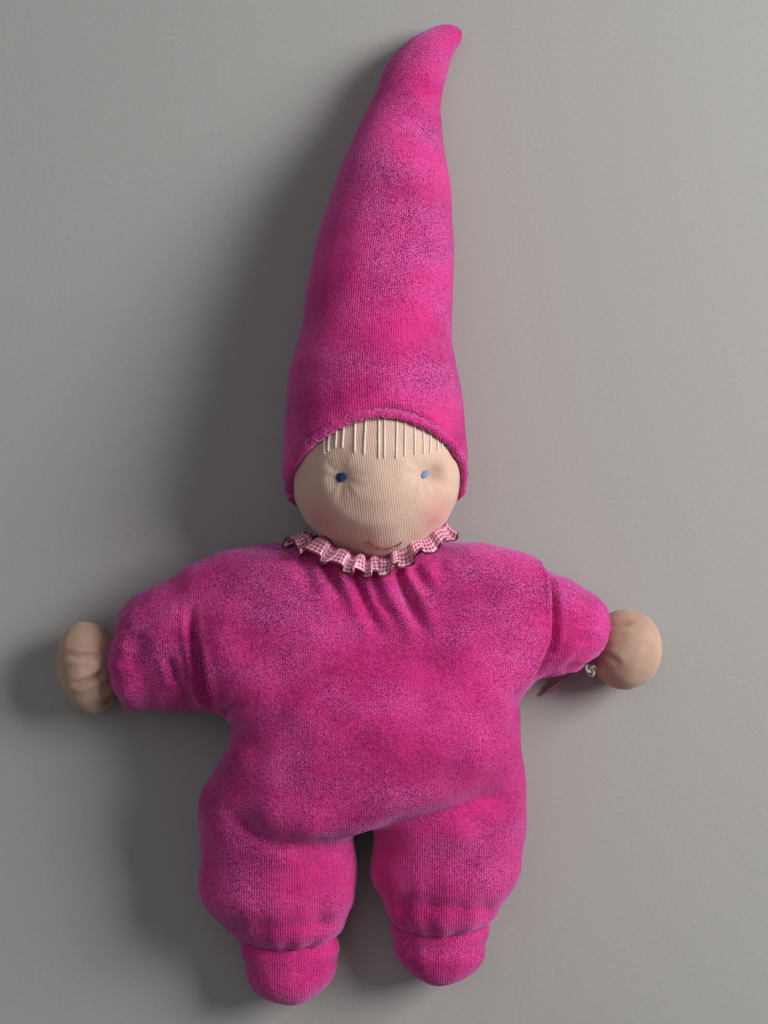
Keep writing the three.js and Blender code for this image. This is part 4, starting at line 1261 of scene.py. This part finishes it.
rng = np.random.default_rng(71)
swings = rng.uniform(0.45, 1.5, WAVES)
shifts = rng.uniform(-1.0, 1.0, WAVES)
turn = 2 * math.pi * np.arange(STEPS)[:, None] / STEPS
share = np.arange(ACROSS)[None, :] / (ACROSS - 1)
phase = turn * WAVES
inside_wave, which = np.modf(phase / (2 * math.pi))
which = which.astype(int) % WAVES
following = (which + 1) % WAVES
swing = swings[which] * (1 - inside_wave) + swings[following] * inside_wave
shift = shifts[which] * (1 - inside_wave) + shifts[following] * inside_wave
free = share ** 1.3
round_turn = turn - (0.35 + 0.65 * free) * 0.06 * np.sin(2 * phase + shift)
radius = between("radius", turn, share) + (0.4 + 0.6 * free) * 1.1 * np.cos(phase + 1.3 * shift)
along = between("along", turn, share) + (0.9 + 0.7 * free) * swing * np.sin(phase + shift)
right = radius * np.sin(round_turn)
along += (0.09 - 0.05 * share) * right
rows = np.stack([0.4 - 1.2 * share + right, along, HEAD[2] + radius * np.cos(round_turn)], axis=2)
steps = np.linalg.norm(np.diff(rows[:, -1], axis=0), axis=1)
run = np.concatenate([[0.0], np.cumsum(steps)])[:, None]
weave = np.stack(np.broadcast_arrays(run * MM, (share - 0.5) * RIBBON_WIDTH, 0.0), axis=2)
ruffle_points = rows.reshape(-1, 3)
crumple = np.stack([lumps(ruffle_points, size=6, seed=seed) for seed in (73, 74, 75)], axis=1)
ruffle_points = settle(ruffle_points + CRUMPLE * crumple)
ruffle_faces = []
for i in range(STEPS):
    here, there = i * ACROSS, (i + 1) % STEPS * ACROSS
    for k in range(ACROSS - 1):
        ruffle_faces.append((here + k, here + k + 1, there + k + 1, there + k))
ruffle_mesh = mesh_of("neck_ruffle_ribbon", ruffle_points, (), ruffle_faces)
store(ruffle_mesh, "weave", weave.reshape(-1, 3))
ruffle_piece = show("neck_ruffle_ribbon", ruffle_mesh, gingham)
thicken(ruffle_piece, 0.35)
surface = sum(face.area for face in ruffle_piece.data.polygons) / 2 / MM / MM
print("ribbon: free edge", round(steps.sum(), 1), "mm, surface", round(surface), "square mm")
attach(ruffle_piece, "torso")
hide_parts("neck_ruffle")

# %% [markdown]
# Knot and ties
#
# Strong thread is wound round the neck, the wrists and the ankles. At one wrist its knot shows,
# with the end of a narrow ribbon under it. The tie at the neck is three turns of thread that draw
# the jersey in, so both are made anew here. The other ties are the solids themselves, in thread.

# %% Knot
KNOT_SHIFT = (1.4, -3.2, 1.8)
KNOT_SIZE = 0.68
turn = 2 * math.pi * np.arange(60) / 60
knot_turns = np.stack([
    np.sin(turn) + 2 * np.sin(2 * turn),
    np.cos(turn) - 2 * np.cos(2 * turn),
    -1.6 * np.sin(3 * turn),
], axis=1)
knot_low, knot_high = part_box("wrist_knot")
knot_middle = np.array((knot_low + knot_high) / 2) / MM + KNOT_SHIFT
knot_path = knot_middle + KNOT_SIZE * knot_turns
knot_piece = threads("wrist_knot_thread", [knot_path], strong_thread, radius=0.5, step=0.35,
                     closed=True)
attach(knot_piece, "left_arm")
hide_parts("wrist_knot")

# %% Ribbon tail
# Each row is a place on the tail's middle and half the ribbon's width there.
tail_line = [
    (75.4, 6.2, 13, 0.5), (73.0, 4.0, 9, 0.6), (70.6, 1.9, 6, 0.9), (68.0, -0.3, 3.6, 1.3),
    (65.4, -2.2, 2.2, 1.5), (63.0, -3.8, 1.5, 1.0), (60.8, -5.2, 1.2, 0.2),
]
tail_points = []
for k, (x, y, z, half) in enumerate(tail_line):
    lean = 0.35 + 0.12 * k
    across = half * np.array((-0.68 * math.cos(lean), 0.73 * math.cos(lean), math.sin(lean)))
    tail_points += [(x, y, z) - across, (x, y, z), (x, y, z) + across]
tail_faces = []
for k in range(len(tail_line) - 1):
    for i in (3 * k, 3 * k + 1):
        tail_faces.append((i, i + 1, i + 4, i + 3))
tail_mesh = mesh_of("wrist_tail_ribbon", settle(np.array(tail_points), 0.4), (), tail_faces)
tail_piece = show("wrist_tail_ribbon", tail_mesh, mauve_ribbon)
rounded = tail_piece.modifiers.new("rounded", "SUBSURF")
rounded.levels = 2
thicken(tail_piece, 0.3)
store(tail_piece.data, "rest", points_of(tail_piece.data) * MM)
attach(tail_piece, "left_arm")
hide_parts("wrist_tail")

# %% Neck tie
TIE_TURNS = 3
TIE_PITCH = 0.9
TIE_TIGHTER = 3.0
tie_low, tie_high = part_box("neck_tie")
tie_middle = np.array((tie_low + tie_high) / 2) / MM
tie_radius = (tie_high[0] - tie_low[0]) / 2 / MM - TIE_TIGHTER
rounds = np.arange(TIE_TURNS * 48 + 1) / 48
turn = 2 * math.pi * rounds
tie_path = tie_middle + np.stack([
    tie_radius * np.sin(turn), TIE_PITCH * (rounds - TIE_TURNS / 2), tie_radius * np.cos(turn),
], axis=1)
neck_tie_piece = threads("neck_tie_thread", [tie_path], strong_thread, radius=0.5, step=0.7)
print("neck tie:", tie_middle.round(1), round(tie_radius, 1))
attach(neck_tie_piece, "neck")
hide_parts("neck_tie")

# %% Neck
neck_mesh = skin_over("neck_jersey", ["neck_stub"], voxel=0.7, smoothing=6, grow=0.0)
places = points_of(neck_mesh)
drawn_in = 0.76 + 0.24 * eased(np.abs(places[:, 1] - tie_middle[1]) / 10)
for k in (0, 2):
    places[:, k] = tie_middle[k] + (places[:, k] - tie_middle[k]) * drawn_in
set_points(neck_mesh, places)
push = gathers(places, tie_middle, (0, 1, 0), count=12, depth=0.3, reach=5, seed=81)
dressed(neck_mesh, push, places[:, 0], places[:, 1], 0.5)
# Painted shade: the neck lies in shadow under the chin and ruffle, so its jersey is browned.
store(neck_mesh, "shade", 0.5)
neck_piece = show("neck_jersey", neck_mesh, skin_jersey)
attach(neck_piece, "neck")
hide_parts("neck_stub")

# %% Ties that stay as solids
for name, node in solids.items():
    if name.endswith("_tie") and name != "neck_tie":
        node.data.materials.clear()
        node.data.materials.append(strong_thread)
        store(node.data, "rest", points_of(node.data) * MM)

# %% [markdown]
# Floor and light
#
# The table is a plain pale surface. The light comes low from the side of the doll's left hand,
# large enough that its shadow has no edge.

# %% Floor and lights
FLOOR_EDGE = 3000
floor_material, floor_tree = new_material("pale_table")
floor_place = add_node(floor_tree, "ShaderNodeTexCoord").outputs["Object"]
floor_grain = grain(floor_place, 1.5 * MM)
floor_colour = mixed(floor_grain, linear("#A5A39F"), linear("#AFADA9"))
finish_material(floor_material, floor_colour, floor_grain, 0.05 * MM, {"Roughness": 0.9})
corners = [(x * FLOOR_EDGE, y * FLOOR_EDGE, 0) for x, y in ((-1, -1), (1, -1), (1, 1), (-1, 1))]
floor = show("floor", mesh_of("floor", corners, (), [(0, 1, 2, 3)]), floor_material)


def soft_light(name, place, aim, size, power, colour):
    """A square lamp that points at aim."""
    lamp = bpy.data.lights.new(name, "AREA")
    lamp.size = size
    lamp.energy = power
    lamp.color = linear(colour)[:3]
    holder = linked(name, lamp)
    holder.location = place
    holder.rotation_euler = (Vector(aim) - Vector(place)).to_track_quat("-Z", "Y").to_euler()


DOLL = (0, 0.05, 0)
soft_light("window", (0.85, 0.35, 0.62), DOLL, size=0.5, power=12.8, colour="#FFFFFF")
soft_light("sky", (-0.3, 0.4, 1.0), DOLL, size=0.9, power=1.6, colour="#EEF2FF")
world = bpy.data.worlds.new("room")
bpy.context.scene.world = world
world.use_nodes = True
world.node_tree.nodes.clear()
surround = {"Color": linear("#E8E6E4"), "Strength": 0.14}
room = add_node(world.node_tree, "ShaderNodeBackground", surround)
add_node(world.node_tree, "ShaderNodeOutputWorld", {"Surface": room.outputs[0]})
